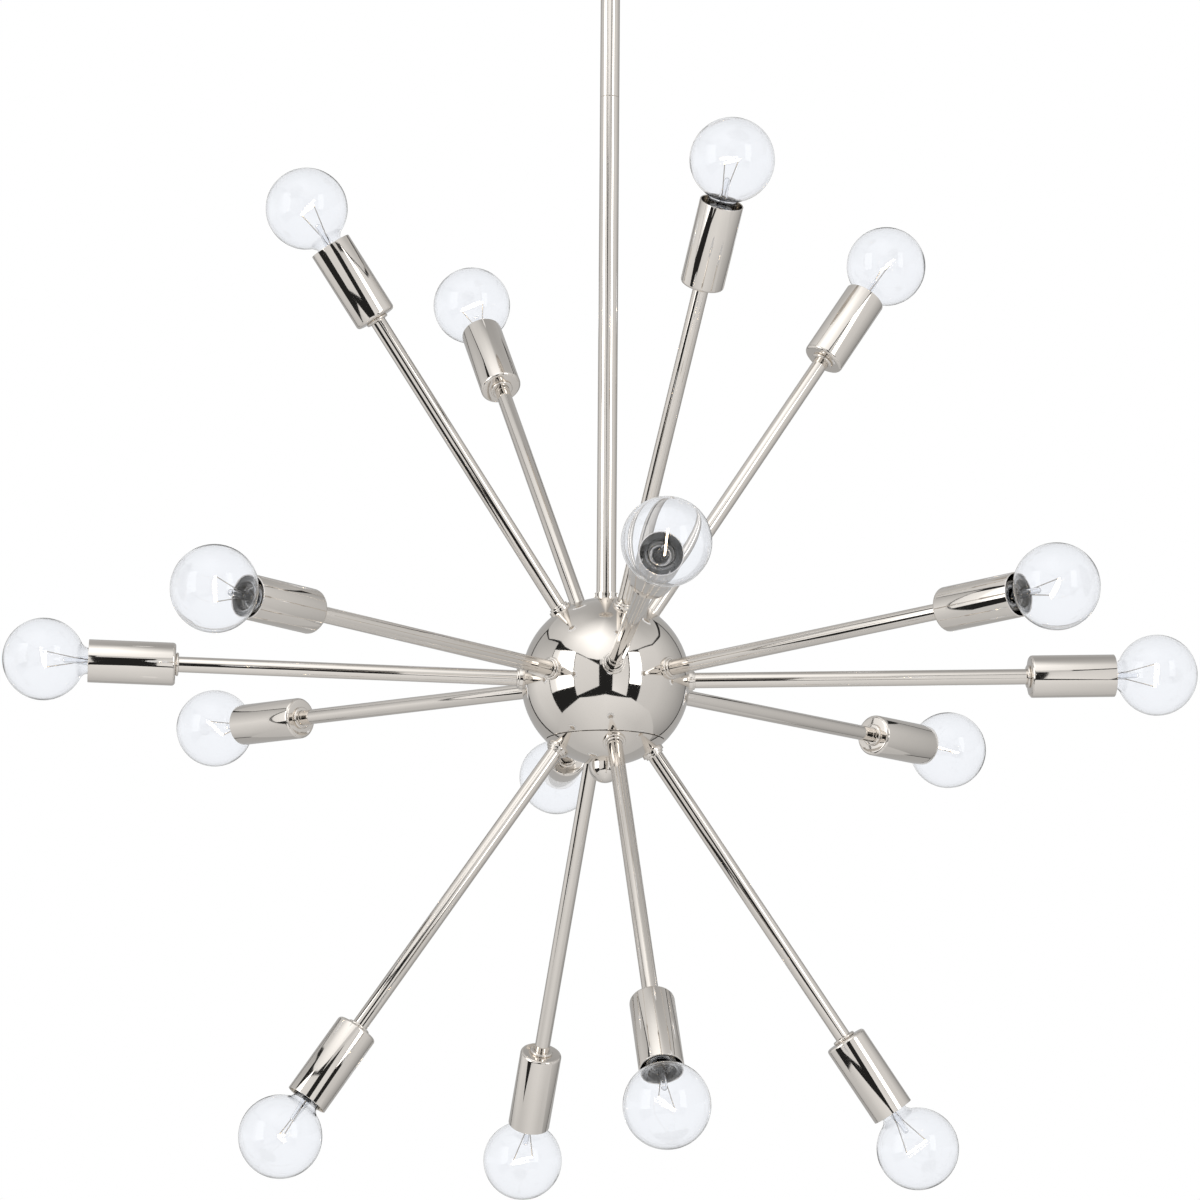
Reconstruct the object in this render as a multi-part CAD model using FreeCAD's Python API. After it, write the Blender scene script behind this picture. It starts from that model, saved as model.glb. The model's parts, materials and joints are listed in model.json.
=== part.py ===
import FreeCAD, Part
import math
import os

from FreeCAD import Vector

# Sputnik chandelier: a ball hub on a stem carries sixteen radial arms, each ending in a socket cup
# with a globe bulb. Millimetres. The origin is the centre of the ceiling face, +Z points up and
# the front is towards -Y, so everything hangs at negative Z.

# Clearances
FIT = 0.1                       # radial, between a piece and the hole that it passes through
RUNNING_FIT = 0.05              # radial, between a pivot screw and its bore
SWIVEL_GAP = 0.3                # between the canopy and the turning fork
SEAT_GAP = 0.1                  # between a nut and the curved wall that it bears on
SCREW_SHELL_GAP = 0.2           # radial, between a bulb base and its screw shell
WIRE_END_GAP = 0.3              # between the end of a wire and what it stops at
CUT_PAST = 1.0                  # how far a cutting shape stands out of what it cuts
FUSE_INTO = 1.0                 # how far a shape reaches into the one that it grows from

# Ceiling end
CANOPY_DIAMETER = 127.0
CANOPY_DEPTH = 26.0
CANOPY_WALL = 1.0
CANOPY_CORNER_RADIUS = 14.0
STRAP_LENGTH = 112.0
STRAP_WIDTH = 19.0
STRAP_THICKNESS = 2.0
BOX_SLOT_SPACING = 79.4         # the slots span box screws at 69.9 mm and at 88.9 mm
BOX_SLOT_LENGTH = 14.6
BOX_SLOT_WIDTH = 5.0
CANOPY_SCREW_SPACING = 50.8
CANOPY_SCREW_DIAMETER = 4.2
CANOPY_SCREW_HEAD_DIAMETER = 8.0
CANOPY_SCREW_HEAD_HEIGHT = 1.8
CANOPY_SCREW_END = 5.5          # how far a screw stands out below the canopy
BALL_NUT_DIAMETER = 11.0
BALL_NUT_FLAT = 7.5             # diameter of its flat seat
BALL_NUT_BORE_END = 0.8         # depth of its bore past the end of the screw

# Swivel
THREAD_DIAMETER = 9.7           # the common lamp thread of the stud and the centre pipe
THREAD_BORE = 6.6
STUD_FLANGE_DIAMETER = 12.6
STUD_FLANGE_THICKNESS = 1.8
STUD_ABOVE_NUT = 3.0
FORK_DIAMETER = 24.0
FORK_TOP_THICKNESS = 2.0
FORK_CHAMBER_DIAMETER = 15.0
FORK_CHAMBER_DEPTH = 4.2
FORK_EAR_WIDTH = 12.0
TURN_STOP_WIDTH = 2.0
TURN_STOP_CLEARANCE = 0.2
TONGUE_BALL_DIAMETER = 14.6
TONGUE_SIDE_GAP = 0.2           # between the tongue and each ear
TONGUE_TOP_GAP = 0.7            # between the tongue and the fork above it
TONGUE_NECK_DIAMETER = 10.0
TONGUE_WIRE_BORE = 7.0
STEM_SOCKET_DIAMETER = 16.0
STEM_SOCKET_DROP = 7.5          # pivot to the top of the stem socket
STEM_SOCKET_ROOF = 3.0
STEM_SOCKET_DEPTH = 12.0
PIVOT_SCREW_DIAMETER = 4.0
PIVOT_HEAD_DIAMETER = 6.4
PIVOT_HEAD_HEIGHT = 1.2
PIVOT_HEAD_RECESS = 0.6
PIVOT_SLOT_WIDTH = 0.8
PIVOT_SCREW_STOP = 0.4          # between the end of a pivot screw and the wire bore

# Stem
STEM_DIAMETER = 12.7
STEM_WALL = 1.0
UPPER_STEM_LENGTH = 152.0
LOWER_STEM_LENGTH = 336.0
STEM_END_CHAMFER = 0.3
COUPLING_LENGTH = 24.0

# Hub
HUB_DIAMETER = 108.0
HUB_WALL = 1.2
HUB_SEAM_DROP = 38.0            # hub centre down to the seam of the lower cap
HUB_LIP_HEIGHT = 3.0
HUB_LIP_THICKNESS = 0.8
HUB_LIP_NOTCH = 18.0            # diameter of the lip's notches for the arm nuts
STEM_COLLAR_DIAMETER = 15.8
STEM_COLLAR_HEIGHT = 3.4
STEM_COLLAR_RIM = 0.7
KNURL_COUNT = 36
KNURL_DEPTH = 0.35
PIPE_INTO_STEM = 14.0
PIPE_INTO_FINIAL = 5.0
PIPE_WINDOW = 4.0
FINIAL_DIAMETER = 20.8
FINIAL_DROP = 1.3               # bottom of the ball down to the centre of the finial's round end
SPLICE_DIAMETER = 30.0
LOCK_NUT_ACROSS_FLATS = 13.0
LOCK_NUT_THICKNESS = 3.0

# Arms: rings of (first turn, rise) in degrees. Turn 0 points at the viewer, +90 to the right.
# The leans are how far single arms stand off their even place, as (rise, turn) in degrees.
MIDDLE_RING_ANGLES = (4.5, 1.0)
MIDDLE_LEAN_ANGLES = ((1.5, 1.0), (1.5, -1.0), (1.0, 0.5), (-0.5, -1.0),
                      (-1.5, 1.0), (0.5, -1.0), (0.0, 0.5), (-0.5, 0.5))
UPPER_RING_ANGLES = (22.0, 55.0)
UPPER_LEAN_ANGLES = ((-1.0, -1.0), (1.0, 0.5), (0.5, 5.5), (0.5, -4.5))
LOWER_RING_ANGLES = (11.0, -55.0)
LOWER_LEAN_ANGLES = ((0.5, -0.5), (0.0, 1.0), (1.5, 3.5), (-0.5, -3.0))
ARM_DIAMETER = 10.0
ARM_WALL = 1.25
ARM_INSIDE_HUB = 8.0            # from the ball's surface to the inner end of the tube
ARM_PAST_NUT = 3.6
ARM_REACH = 358.0               # hub centre to the centre of the globe
COLLAR_FLANGE_DIAMETER = 14.7
COLLAR_FLANGE_HEIGHT = 1.8
COLLAR_STEP_DIAMETER = 12.2
COLLAR_STEP_HEIGHT = 1.4
COLLAR_EDGE_RADIUS = 0.5

# Socket cups
CUP_DIAMETER = 27.4
CUP_WALL = 0.8
CUP_LENGTH = 55.3
CUP_EDGE_RADIUS = 2.0
CUP_SETBACK = 28.2              # globe centre back to the mouth of the cup
NECK_RING_DIAMETER = 15.0
NECK_RING_THICKNESS = 1.9
NECK_RING_FLAT = 0.2            # width of the flat between its rounded edges
INSULATOR_DIAMETER = 18.0
INSULATOR_SETBACK = 4.3         # mouth of the cup back to the insulator's front
INSULATOR_BACK_WALL = 5.6
INSULATOR_FLOOR = 4.2
INSULATOR_REAR_BORE = 13.0
SCREW_SHELL_WALL = 0.4
SCREW_SHELL_SETBACK = 0.5
SCREW_SHELL_HOLE = 6.8
CONTACT_DIAMETER = 5.2
CONTACT_THICKNESS = 0.6
CONTACT_SPRING_DIAMETER = 3.6
CONTACT_GAP = 0.3               # between the centre contact and the tip of the bulb

# Bulbs
GLOBE_DIAMETER = 52.4
GLASS_WALL = 0.7
BULB_LENGTH = 76.0
BULB_NECK_DIAMETER = 17.2
BULB_NECK_FOOT_DIAMETER = 16.0
BULB_NECK_SETBACK = 26.5        # globe centre back to the top of the neck
BULB_NECK_ROUNDING = 0.9        # height in which the foot of the neck closes in
BULB_SHOULDER_DIAMETER = 22.0   # where the globe turns into the neck
GLASS_TAIL_DIAMETER = 10.2
GLASS_TAIL_LENGTH = 7.2
BASE_DIAMETER = 11.9
BASE_LENGTH = 17.0
BASE_RIM_HEIGHT = 1.6           # plain rim above the thread
BASE_THREAD_PITCH = 2.54
BASE_THREAD_DEPTH = 0.4
BASE_THREAD_COUNT = 5
BASE_WALL = 0.25
BASE_RIM_GAP = 0.2              # between the rim of the base and the glass above it
BASE_INSULATOR_RISE = 1.5       # how far the base's insulator stands up inside its can
TIP_DIAMETER = 4.8
TIP_HEIGHT = 1.0
SOCKET_TIP_CLEARANCE = 4.0      # tip of the bulb down to the floor of the socket
MOUNT_DIAMETER = 4.8
MOUNT_TOP_SETBACK = 12.0        # globe centre back to the top of the glass mount
MOUNT_FLARE_RIM = 1.0
MOUNT_FLARE_HEIGHT = 4.0        # from the foot of the mount to where its flare ends
LEAD_WIRE_DIAMETER = 0.7
LEAD_WIRE_SPACING = 2.0
LEAD_WIRE_BEND_HEIGHT = 3.0
FILAMENT_LENGTH = 16.0
FILAMENT_DIAMETER = 1.2
FILAMENT_SETBACK = 1.0

# Wires
STEM_WIRE_DIAMETER = 2.4
ARM_WIRE_DIAMETER = 1.9
WIRE_SPACING = 0.1              # between the two wires of a pair
CANOPY_WIRE_DROP = 13.5         # ceiling down to where the leads run level
CANOPY_WIRE_BEND = 6.0
CONNECTOR_START = 17.5          # from the middle of the canopy
CONNECTOR_LENGTH = 20.0
CONNECTOR_MOUTH_DIAMETER = 11.0
CONNECTOR_END_DIAMETER = 7.0

# Radii and places that follow from the sizes above
CANOPY_RADIUS = CANOPY_DIAMETER / 2
CANOPY_FLOOR = -CANOPY_DEPTH + CANOPY_WALL
THREAD_RADIUS = THREAD_DIAMETER / 2
STUD_NUT_TOP = CANOPY_FLOOR + LOCK_NUT_THICKNESS
FORK_TOP = -CANOPY_DEPTH - SWIVEL_GAP
CHAMBER_TOP = FORK_TOP - FORK_TOP_THICKNESS
CHAMBER_FLOOR = CHAMBER_TOP - FORK_CHAMBER_DEPTH
FLANGE_TOP = CHAMBER_TOP - RUNNING_FIT
STUD_BOTTOM = FLANGE_TOP - STUD_FLANGE_THICKNESS
TONGUE_RADIUS = TONGUE_BALL_DIAMETER / 2
PIVOT_Z = CHAMBER_FLOOR - TONGUE_TOP_GAP - TONGUE_RADIUS
SOCKET_TOP = PIVOT_Z - STEM_SOCKET_DROP
STEM_TOP = SOCKET_TOP - STEM_SOCKET_ROOF
SOCKET_BOTTOM = STEM_TOP - STEM_SOCKET_DEPTH
STEM_JOINT = STEM_TOP - UPPER_STEM_LENGTH
STEM_BOTTOM = STEM_JOINT - LOWER_STEM_LENGTH
STEM_RADIUS = STEM_DIAMETER / 2
STEM_BORE_RADIUS = STEM_RADIUS - STEM_WALL
HUB_RADIUS = HUB_DIAMETER / 2
HUB_INNER_RADIUS = HUB_RADIUS - HUB_WALL
HUB_Z = STEM_BOTTOM - STEM_COLLAR_HEIGHT - HUB_RADIUS
NUT_CORNER_RADIUS = LOCK_NUT_ACROSS_FLATS / 2 / math.cos(math.radians(30))
HUB_NUT_FACE = math.sqrt(HUB_INNER_RADIUS ** 2 - NUT_CORNER_RADIUS ** 2) - SEAT_GAP
ARM_RADIUS = ARM_DIAMETER / 2
ARM_START = HUB_RADIUS - ARM_INSIDE_HUB
CUP_RADIUS = CUP_DIAMETER / 2
CUP_MOUTH = ARM_REACH - CUP_SETBACK
CUP_BACK = CUP_MOUTH - CUP_LENGTH
CUP_NUT_FACE = CUP_BACK + CUP_WALL
CUP_NUT_END = CUP_NUT_FACE + LOCK_NUT_THICKNESS
ARM_END = CUP_NUT_END + ARM_PAST_NUT
GLOBE_RADIUS = GLOBE_DIAMETER / 2
BULB_TIP = ARM_REACH + GLOBE_RADIUS - BULB_LENGTH
BASE_TOP = BULB_TIP + BASE_LENGTH
BASE_BOTTOM = BASE_TOP - BASE_RIM_HEIGHT - BASE_THREAD_COUNT * BASE_THREAD_PITCH
SOCKET_FLOOR = BULB_TIP - SOCKET_TIP_CLEARANCE
INSULATOR_FRONT = CUP_MOUTH - INSULATOR_SETBACK

ORIGIN = Vector(0, 0, 0)
X_AXIS = Vector(1, 0, 0)
Y_AXIS = Vector(0, 1, 0)
Z_AXIS = Vector(0, 0, 1)


# Shapes on the Z axis -----------------------------------------------------------------------------

def rod(radius, low, high, x=0.0, y=0.0):
    return Part.makeCylinder(radius, high - low, Vector(x, y, low))


def pipe(radius, bore_radius, low, high):
    return rod(radius, low, high).cut(rod(bore_radius, low - CUT_PAST, high + CUT_PAST))


def ball(radius, z=0.0):
    return Part.makeSphere(radius, Vector(0, 0, z))


def block(width, depth, low, high, x=0.0, y=0.0):
    return Part.makeBox(width, depth, high - low, Vector(x - width / 2, y - depth / 2, low))


def turned(profile):
    """Turn a closed profile about Z. A point is (r, z), or (r, z, via_r, via_z) to reach it by an arc."""
    edges = []
    start = Vector(profile[0][0], 0, profile[0][1])
    here = start
    for point in profile[1:]:
        there = Vector(point[0], 0, point[1])
        if len(point) == 4:
            edges.append(Part.Arc(here, Vector(point[2], 0, point[3]), there).toShape())
        else:
            edges.append(Part.makeLine(here, there))
        here = there
    edges.append(Part.makeLine(here, start))
    return Part.Face(Part.Wire(edges)).revolve(ORIGIN, Z_AXIS, 360)


def rounded_disc(radius, bore_radius, low, high, edge):
    """A washer whose two outer edges are rounded."""
    shift = edge * (1 - math.sqrt(0.5))
    return turned([(bore_radius, low), (radius - edge, low),
                   (radius, low + edge, radius - shift, low + shift),
                   (radius, high - edge),
                   (radius - edge, high, radius - shift, high - shift),
                   (bore_radius, high)])


def hex_nut(thread_radius, low, high):
    corners = [Vector(NUT_CORNER_RADIUS * math.cos(math.radians(60 * i)),
                      NUT_CORNER_RADIUS * math.sin(math.radians(60 * i)), low) for i in range(7)]
    prism = Part.Face(Part.makePolygon(corners)).extrude(Vector(0, 0, high - low))
    return prism.cut(rod(thread_radius + FIT, low - CUT_PAST, high + CUT_PAST))


def hub_place(shape):
    moved = shape.copy()
    moved.translate(Vector(0, 0, HUB_Z))
    return moved


def on_arm(shape, rise, turn):
    """Carry a shape from the Z axis, with the hub centre at the origin, to its arm."""
    moved = shape.copy()
    moved.rotate(ORIGIN, X_AXIS, 90 - rise)
    moved.rotate(ORIGIN, Z_AXIS, turn)
    return hub_place(moved)


def ring_arms(ring, leans):
    first, rise = ring
    step = 360 / len(leans)
    return [(rise + lean[0], first + step * i + lean[1]) for i, lean in enumerate(leans)]


def all_arms():
    """Every arm as (rise, turn): the middle ring, then the upper and the lower one."""
    return (ring_arms(MIDDLE_RING_ANGLES, MIDDLE_LEAN_ANGLES)
            + ring_arms(UPPER_RING_ANGLES, UPPER_LEAN_ANGLES)
            + ring_arms(LOWER_RING_ANGLES, LOWER_LEAN_ANGLES))


def on_every_arm(shape):
    return [on_arm(shape, rise, turn) for rise, turn in all_arms()]


# Ceiling end --------------------------------------------------------------------------------------

def mounting_strap():
    strap = block(STRAP_LENGTH, STRAP_WIDTH, -STRAP_THICKNESS, 0)
    for side in (-1, 1):
        middle = side * BOX_SLOT_SPACING / 2
        straight = BOX_SLOT_LENGTH - BOX_SLOT_WIDTH
        below = -STRAP_THICKNESS - CUT_PAST
        strap = strap.cut(block(straight, BOX_SLOT_WIDTH, below, CUT_PAST, middle))
        for end in (-1, 1):
            strap = strap.cut(rod(BOX_SLOT_WIDTH / 2, below, CUT_PAST, middle + end * straight / 2))
        strap = strap.cut(canopy_screw(FIT, side))
    return strap


def canopy_screw(growth, side):
    """A flush-headed screw, or with a growth the hole for it."""
    head = CANOPY_SCREW_HEAD_DIAMETER / 2 + growth
    shank = CANOPY_SCREW_DIAMETER / 2 + growth
    end = -CANOPY_DEPTH - CANOPY_SCREW_END
    screw = turned([(0, 0), (head, 0), (shank, -CANOPY_SCREW_HEAD_HEIGHT), (shank, end), (0, end)])
    screw.translate(Vector(side * CANOPY_SCREW_SPACING / 2, 0, 0))
    return screw


def canopy_screws():
    return [canopy_screw(0, side) for side in (-1, 1)]


def canopy():
    """A spun cup, open towards the ceiling."""
    outer = CANOPY_RADIUS
    inner = outer - CANOPY_WALL
    corner = CANOPY_CORNER_RADIUS
    inner_corner = corner - CANOPY_WALL
    bend = -CANOPY_DEPTH + corner
    centre = outer - corner
    slant = math.sqrt(0.5)
    shell = turned([(THREAD_RADIUS + FIT, -CANOPY_DEPTH), (centre, -CANOPY_DEPTH),
                    (outer, bend, centre + corner * slant, bend - corner * slant),
                    (outer, 0), (inner, 0), (inner, bend),
                    (centre, CANOPY_FLOOR, centre + inner_corner * slant, bend - inner_corner * slant),
                    (THREAD_RADIUS + FIT, CANOPY_FLOOR)])
    for side in (-1, 1):
        shell = shell.cut(canopy_screw(FIT, side))
    return shell


def canopy_ball_nuts():
    nuts = []
    radius = BALL_NUT_DIAMETER / 2
    centre = -CANOPY_DEPTH - math.sqrt(radius ** 2 - (BALL_NUT_FLAT / 2) ** 2)
    for side in (-1, 1):
        nut = ball(radius, centre).cut(rod(BALL_NUT_DIAMETER, -CANOPY_DEPTH, 0))
        nut.translate(Vector(side * CANOPY_SCREW_SPACING / 2, 0, 0))
        bore_end = -CANOPY_DEPTH - CANOPY_SCREW_END - BALL_NUT_BORE_END
        bore = rod(CANOPY_SCREW_DIAMETER / 2 + FIT, bore_end, 0, side * CANOPY_SCREW_SPACING / 2)
        nuts.append(nut.cut(bore))
    return nuts


def swivel_stud():
    """A hollow stud through the canopy. Its flange, with a stop peg, carries the fork."""
    stud = rod(THREAD_RADIUS, STUD_BOTTOM, STUD_NUT_TOP + STUD_ABOVE_NUT)
    stud = stud.fuse(rod(STUD_FLANGE_DIAMETER / 2, STUD_BOTTOM, FLANGE_TOP))
    peg_end = FORK_CHAMBER_DIAMETER / 2 - TURN_STOP_CLEARANCE
    peg = block(peg_end, TURN_STOP_WIDTH, STUD_BOTTOM, FLANGE_TOP, peg_end / 2)
    stud = stud.fuse(peg).removeSplitter()
    return stud.cut(rod(THREAD_BORE / 2, STUD_BOTTOM - CUT_PAST, 0))


def stud_nut():
    return hex_nut(THREAD_RADIUS, CANOPY_FLOOR, STUD_NUT_TOP)


def swivel_fork():
    """Turns on the stud. A chamber holds the stud's flange and two ears hold the tongue."""
    radius = FORK_DIAMETER / 2
    slot_half = TONGUE_RADIUS + TONGUE_SIDE_GAP
    ear_half = FORK_EAR_WIDTH / 2
    fork = rod(radius, CHAMBER_FLOOR, FORK_TOP)
    ears = block(FORK_DIAMETER, FORK_EAR_WIDTH, PIVOT_Z, CHAMBER_FLOOR)
    ears = ears.fuse(Part.makeCylinder(ear_half, FORK_DIAMETER, Vector(-radius, 0, PIVOT_Z), X_AXIS))
    ears = ears.common(rod(radius, PIVOT_Z - ear_half, CHAMBER_FLOOR))
    ears = ears.cut(block(2 * slot_half, FORK_DIAMETER, PIVOT_Z - radius, CHAMBER_FLOOR))
    fork = fork.fuse(ears).removeSplitter()
    fork = fork.cut(rod(FORK_CHAMBER_DIAMETER / 2, CHAMBER_FLOOR - CUT_PAST, CHAMBER_TOP))
    fork = fork.cut(rod(THREAD_RADIUS + RUNNING_FIT, CHAMBER_TOP - CUT_PAST, FORK_TOP + CUT_PAST))
    stop_inner = STUD_FLANGE_DIAMETER / 2 + TURN_STOP_CLEARANCE
    stop_length = FORK_CHAMBER_DIAMETER / 2 + FUSE_INTO - stop_inner
    stop = block(stop_length, TURN_STOP_WIDTH, CHAMBER_FLOOR, CHAMBER_TOP,
                 -stop_inner - stop_length / 2)
    fork = fork.fuse(stop).removeSplitter()
    fork = fork.cut(Part.makeCylinder(PIVOT_SCREW_DIAMETER / 2, FORK_DIAMETER + 2 * CUT_PAST,
                                      Vector(-radius - CUT_PAST, 0, PIVOT_Z), X_AXIS))
    for side in (-1, 1):
        seat = Vector(side * (radius - PIVOT_HEAD_RECESS), 0, PIVOT_Z)
        fork = fork.cut(Part.makeCylinder(PIVOT_HEAD_DIAMETER / 2 + FIT, PIVOT_HEAD_RECESS + CUT_PAST,
                                          seat, X_AXIS * side))
    return fork


def swivel_pins():
    """Two headed pivot screws, one through each ear into the tongue."""
    screws = []
    head_seat = FORK_DIAMETER / 2 - PIVOT_HEAD_RECESS
    inner_end = TONGUE_WIRE_BORE / 2 + PIVOT_SCREW_STOP
    for side in (-1, 1):
        way = X_AXIS * side
        shank = Part.makeCylinder(PIVOT_SCREW_DIAMETER / 2, head_seat - inner_end,
                                  Vector(side * inner_end, 0, PIVOT_Z), way)
        head = Part.makeCylinder(PIVOT_HEAD_DIAMETER / 2, PIVOT_HEAD_HEIGHT,
                                 Vector(side * head_seat, 0, PIVOT_Z), way)
        slot = Part.makeBox(PIVOT_HEAD_HEIGHT, PIVOT_HEAD_DIAMETER, PIVOT_SLOT_WIDTH)
        slot.translate(Vector(side * (head_seat + PIVOT_HEAD_HEIGHT) - PIVOT_HEAD_HEIGHT / 2,
                              -PIVOT_HEAD_DIAMETER / 2, PIVOT_Z - PIVOT_SLOT_WIDTH / 2))
        screws.append(shank.fuse(head).removeSplitter().cut(slot))
    return screws


def swivel_tongue():
    """Hangs between the ears and carries the stem in its socket."""
    tongue = ball(TONGUE_RADIUS, PIVOT_Z)
    tongue = tongue.fuse(rod(TONGUE_NECK_DIAMETER / 2, SOCKET_TOP - FUSE_INTO, PIVOT_Z))
    tongue = tongue.fuse(rod(STEM_SOCKET_DIAMETER / 2, SOCKET_BOTTOM, SOCKET_TOP)).removeSplitter()
    tongue = tongue.cut(rod(TONGUE_WIRE_BORE / 2, STEM_TOP - CUT_PAST, PIVOT_Z + TONGUE_RADIUS))
    tongue = tongue.cut(rod(STEM_RADIUS + FIT, SOCKET_BOTTOM - CUT_PAST, STEM_TOP))
    return tongue.cut(Part.makeCylinder(PIVOT_SCREW_DIAMETER / 2 + RUNNING_FIT, TONGUE_BALL_DIAMETER,
                                        Vector(-TONGUE_RADIUS, 0, PIVOT_Z), X_AXIS))


# Stem ---------------------------------------------------------------------------------------------

def stem_piece(low, high):
    """A tube with lightly broken outer edges, so that a joint shows as a fine line."""
    edge = STEM_END_CHAMFER
    return turned([(STEM_BORE_RADIUS, low), (STEM_RADIUS - edge, low), (STEM_RADIUS, low + edge),
                   (STEM_RADIUS, high - edge), (STEM_RADIUS - edge, high), (STEM_BORE_RADIUS, high)])


def stem_coupling():
    middle = STEM_JOINT
    return pipe(STEM_BORE_RADIUS - FIT, THREAD_BORE / 2, middle - COUPLING_LENGTH / 2,
                middle + COUPLING_LENGTH / 2)


# Hub ----------------------------------------------------------------------------------------------

def hub_ball_shell(low, high):
    shell = ball(HUB_RADIUS).cut(ball(HUB_INNER_RADIUS))
    return shell.common(rod(HUB_RADIUS + CUT_PAST, low, high))


def arm_holes(radius, low, high):
    holes = []
    for rise, turn in all_arms():
        hole = rod(radius, low, high)
        hole.rotate(ORIGIN, X_AXIS, 90 - rise)
        hole.rotate(ORIGIN, Z_AXIS, turn)
        holes.append(hole)
    return holes


def hub_shell():
    shell = hub_ball_shell(-HUB_SEAM_DROP, HUB_RADIUS + CUT_PAST)
    shell = shell.cut(rod(THREAD_RADIUS + FIT, 0, HUB_RADIUS + CUT_PAST))
    return hub_place(shell.cut(arm_holes(ARM_RADIUS + FIT, ARM_START, HUB_RADIUS + CUT_PAST)))


def hub_lower_cap():
    """The bottom of the ball, with a lip that centres it in the upper shell."""
    cap = hub_ball_shell(-HUB_RADIUS - CUT_PAST, -HUB_SEAM_DROP)
    outer = HUB_INNER_RADIUS - FIT
    lip = ball(outer).cut(ball(outer - HUB_LIP_THICKNESS))
    lip = lip.common(rod(HUB_RADIUS, -HUB_SEAM_DROP, -HUB_SEAM_DROP + HUB_LIP_HEIGHT))
    foot = ball(HUB_INNER_RADIUS + HUB_WALL / 2).cut(ball(outer - HUB_LIP_THICKNESS))
    foot = foot.common(rod(HUB_RADIUS, -HUB_SEAM_DROP - HUB_WALL, -HUB_SEAM_DROP))
    lip = lip.fuse(foot)
    lip = lip.cut(arm_holes(HUB_LIP_NOTCH / 2, ARM_START - HUB_WALL, HUB_RADIUS + CUT_PAST))
    cap = cap.fuse(lip).removeSplitter()
    cap = cap.cut(rod(THREAD_RADIUS + FIT, -HUB_RADIUS - CUT_PAST, 0))
    return hub_place(cap.cut(arm_holes(ARM_RADIUS + FIT, ARM_START, HUB_RADIUS + CUT_PAST)))


def hub_stem_collar():
    """A knurled ring between two plain rims, seated on the ball under the stem."""
    outer = STEM_COLLAR_DIAMETER / 2
    top = HUB_RADIUS + STEM_COLLAR_HEIGHT
    low = HUB_RADIUS - 2 * STEM_COLLAR_RIM
    points = []
    for i in range(2 * KNURL_COUNT + 1):
        reach = outer - KNURL_DEPTH * (i % 2)
        angle = math.pi * i / KNURL_COUNT
        points.append(Vector(reach * math.cos(angle), reach * math.sin(angle), low))
    ring = Part.Face(Part.makePolygon(points)).extrude(Vector(0, 0, top - low))
    rim_radius = outer - KNURL_DEPTH - FIT
    for rim in (top - STEM_COLLAR_RIM, HUB_RADIUS - HUB_WALL):
        ring = ring.cut(pipe(outer + CUT_PAST, rim_radius, rim, rim + STEM_COLLAR_RIM + HUB_WALL))
    ring = ring.cut(ball(HUB_RADIUS))
    return hub_place(ring.cut(rod(THREAD_RADIUS + FIT, 0, top + CUT_PAST)))


def hub_centre_pipe():
    """The threaded pipe that clamps the ball between the stem and the finial, with wire windows."""
    top = HUB_RADIUS + STEM_COLLAR_HEIGHT + PIPE_INTO_STEM
    length_pipe = pipe(THREAD_RADIUS, THREAD_BORE / 2, -HUB_RADIUS - PIPE_INTO_FINIAL, top)
    for way in (X_AXIS, Y_AXIS):
        window = Part.makeCylinder(PIPE_WINDOW / 2, THREAD_DIAMETER + 2 * CUT_PAST,
                                   way * (-THREAD_RADIUS - CUT_PAST), way)
        length_pipe = length_pipe.cut(window)
    return hub_place(length_pipe)


def finial():
    """A half-round cap nut, seated on the bottom of the ball."""
    radius = FINIAL_DIAMETER / 2
    centre = -HUB_RADIUS - FINIAL_DROP
    body = rod(radius, centre, CUT_PAST - HUB_INNER_RADIUS).fuse(ball(radius, centre)).removeSplitter()
    body = body.cut(ball(HUB_RADIUS))
    bore_end = -HUB_RADIUS - PIPE_INTO_FINIAL - FIT
    return hub_place(body.cut(rod(THREAD_RADIUS + FIT, bore_end, 0)))


def hub_splice():
    """The taped bundle around the pipe where the wires of the arms are joined."""
    return hub_place(ball(SPLICE_DIAMETER / 2).cut(
        rod(THREAD_RADIUS + WIRE_END_GAP, -SPLICE_DIAMETER, SPLICE_DIAMETER)))


def lock_nuts():
    """Hex nuts on the arms inside the ball and inside the cups, and one on the centre pipe."""
    hub_nut = hex_nut(ARM_RADIUS, HUB_NUT_FACE - LOCK_NUT_THICKNESS, HUB_NUT_FACE)
    cup_nut = hex_nut(ARM_RADIUS, CUP_NUT_FACE, CUP_NUT_END)
    pipe_nut = hex_nut(THREAD_RADIUS, HUB_NUT_FACE - LOCK_NUT_THICKNESS, HUB_NUT_FACE)
    return on_every_arm(hub_nut) + on_every_arm(cup_nut) + [hub_place(pipe_nut)]


# Arms and socket cups, on the Z axis with the hub centre at the origin ----------------------------

def arm_tube():
    return pipe(ARM_RADIUS, ARM_RADIUS - ARM_WALL, ARM_START, ARM_END)


def arm_hub_collar():
    """A stepped collar whose foot follows the ball."""
    bore = ARM_RADIUS + FIT
    flange_top = HUB_RADIUS + COLLAR_FLANGE_HEIGHT
    edge = COLLAR_EDGE_RADIUS
    flange = rounded_disc(COLLAR_FLANGE_DIAMETER / 2, bore, HUB_INNER_RADIUS, flange_top, edge)
    step = rounded_disc(COLLAR_STEP_DIAMETER / 2, bore, flange_top - 2 * edge,
                        flange_top + COLLAR_STEP_HEIGHT, edge)
    return flange.fuse(step).removeSplitter().cut(ball(HUB_RADIUS))


def cup_neck_ring():
    edge = (NECK_RING_THICKNESS - NECK_RING_FLAT) / 2
    return rounded_disc(NECK_RING_DIAMETER / 2, ARM_RADIUS + FIT, CUP_BACK - NECK_RING_THICKNESS,
                        CUP_BACK, edge)


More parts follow.
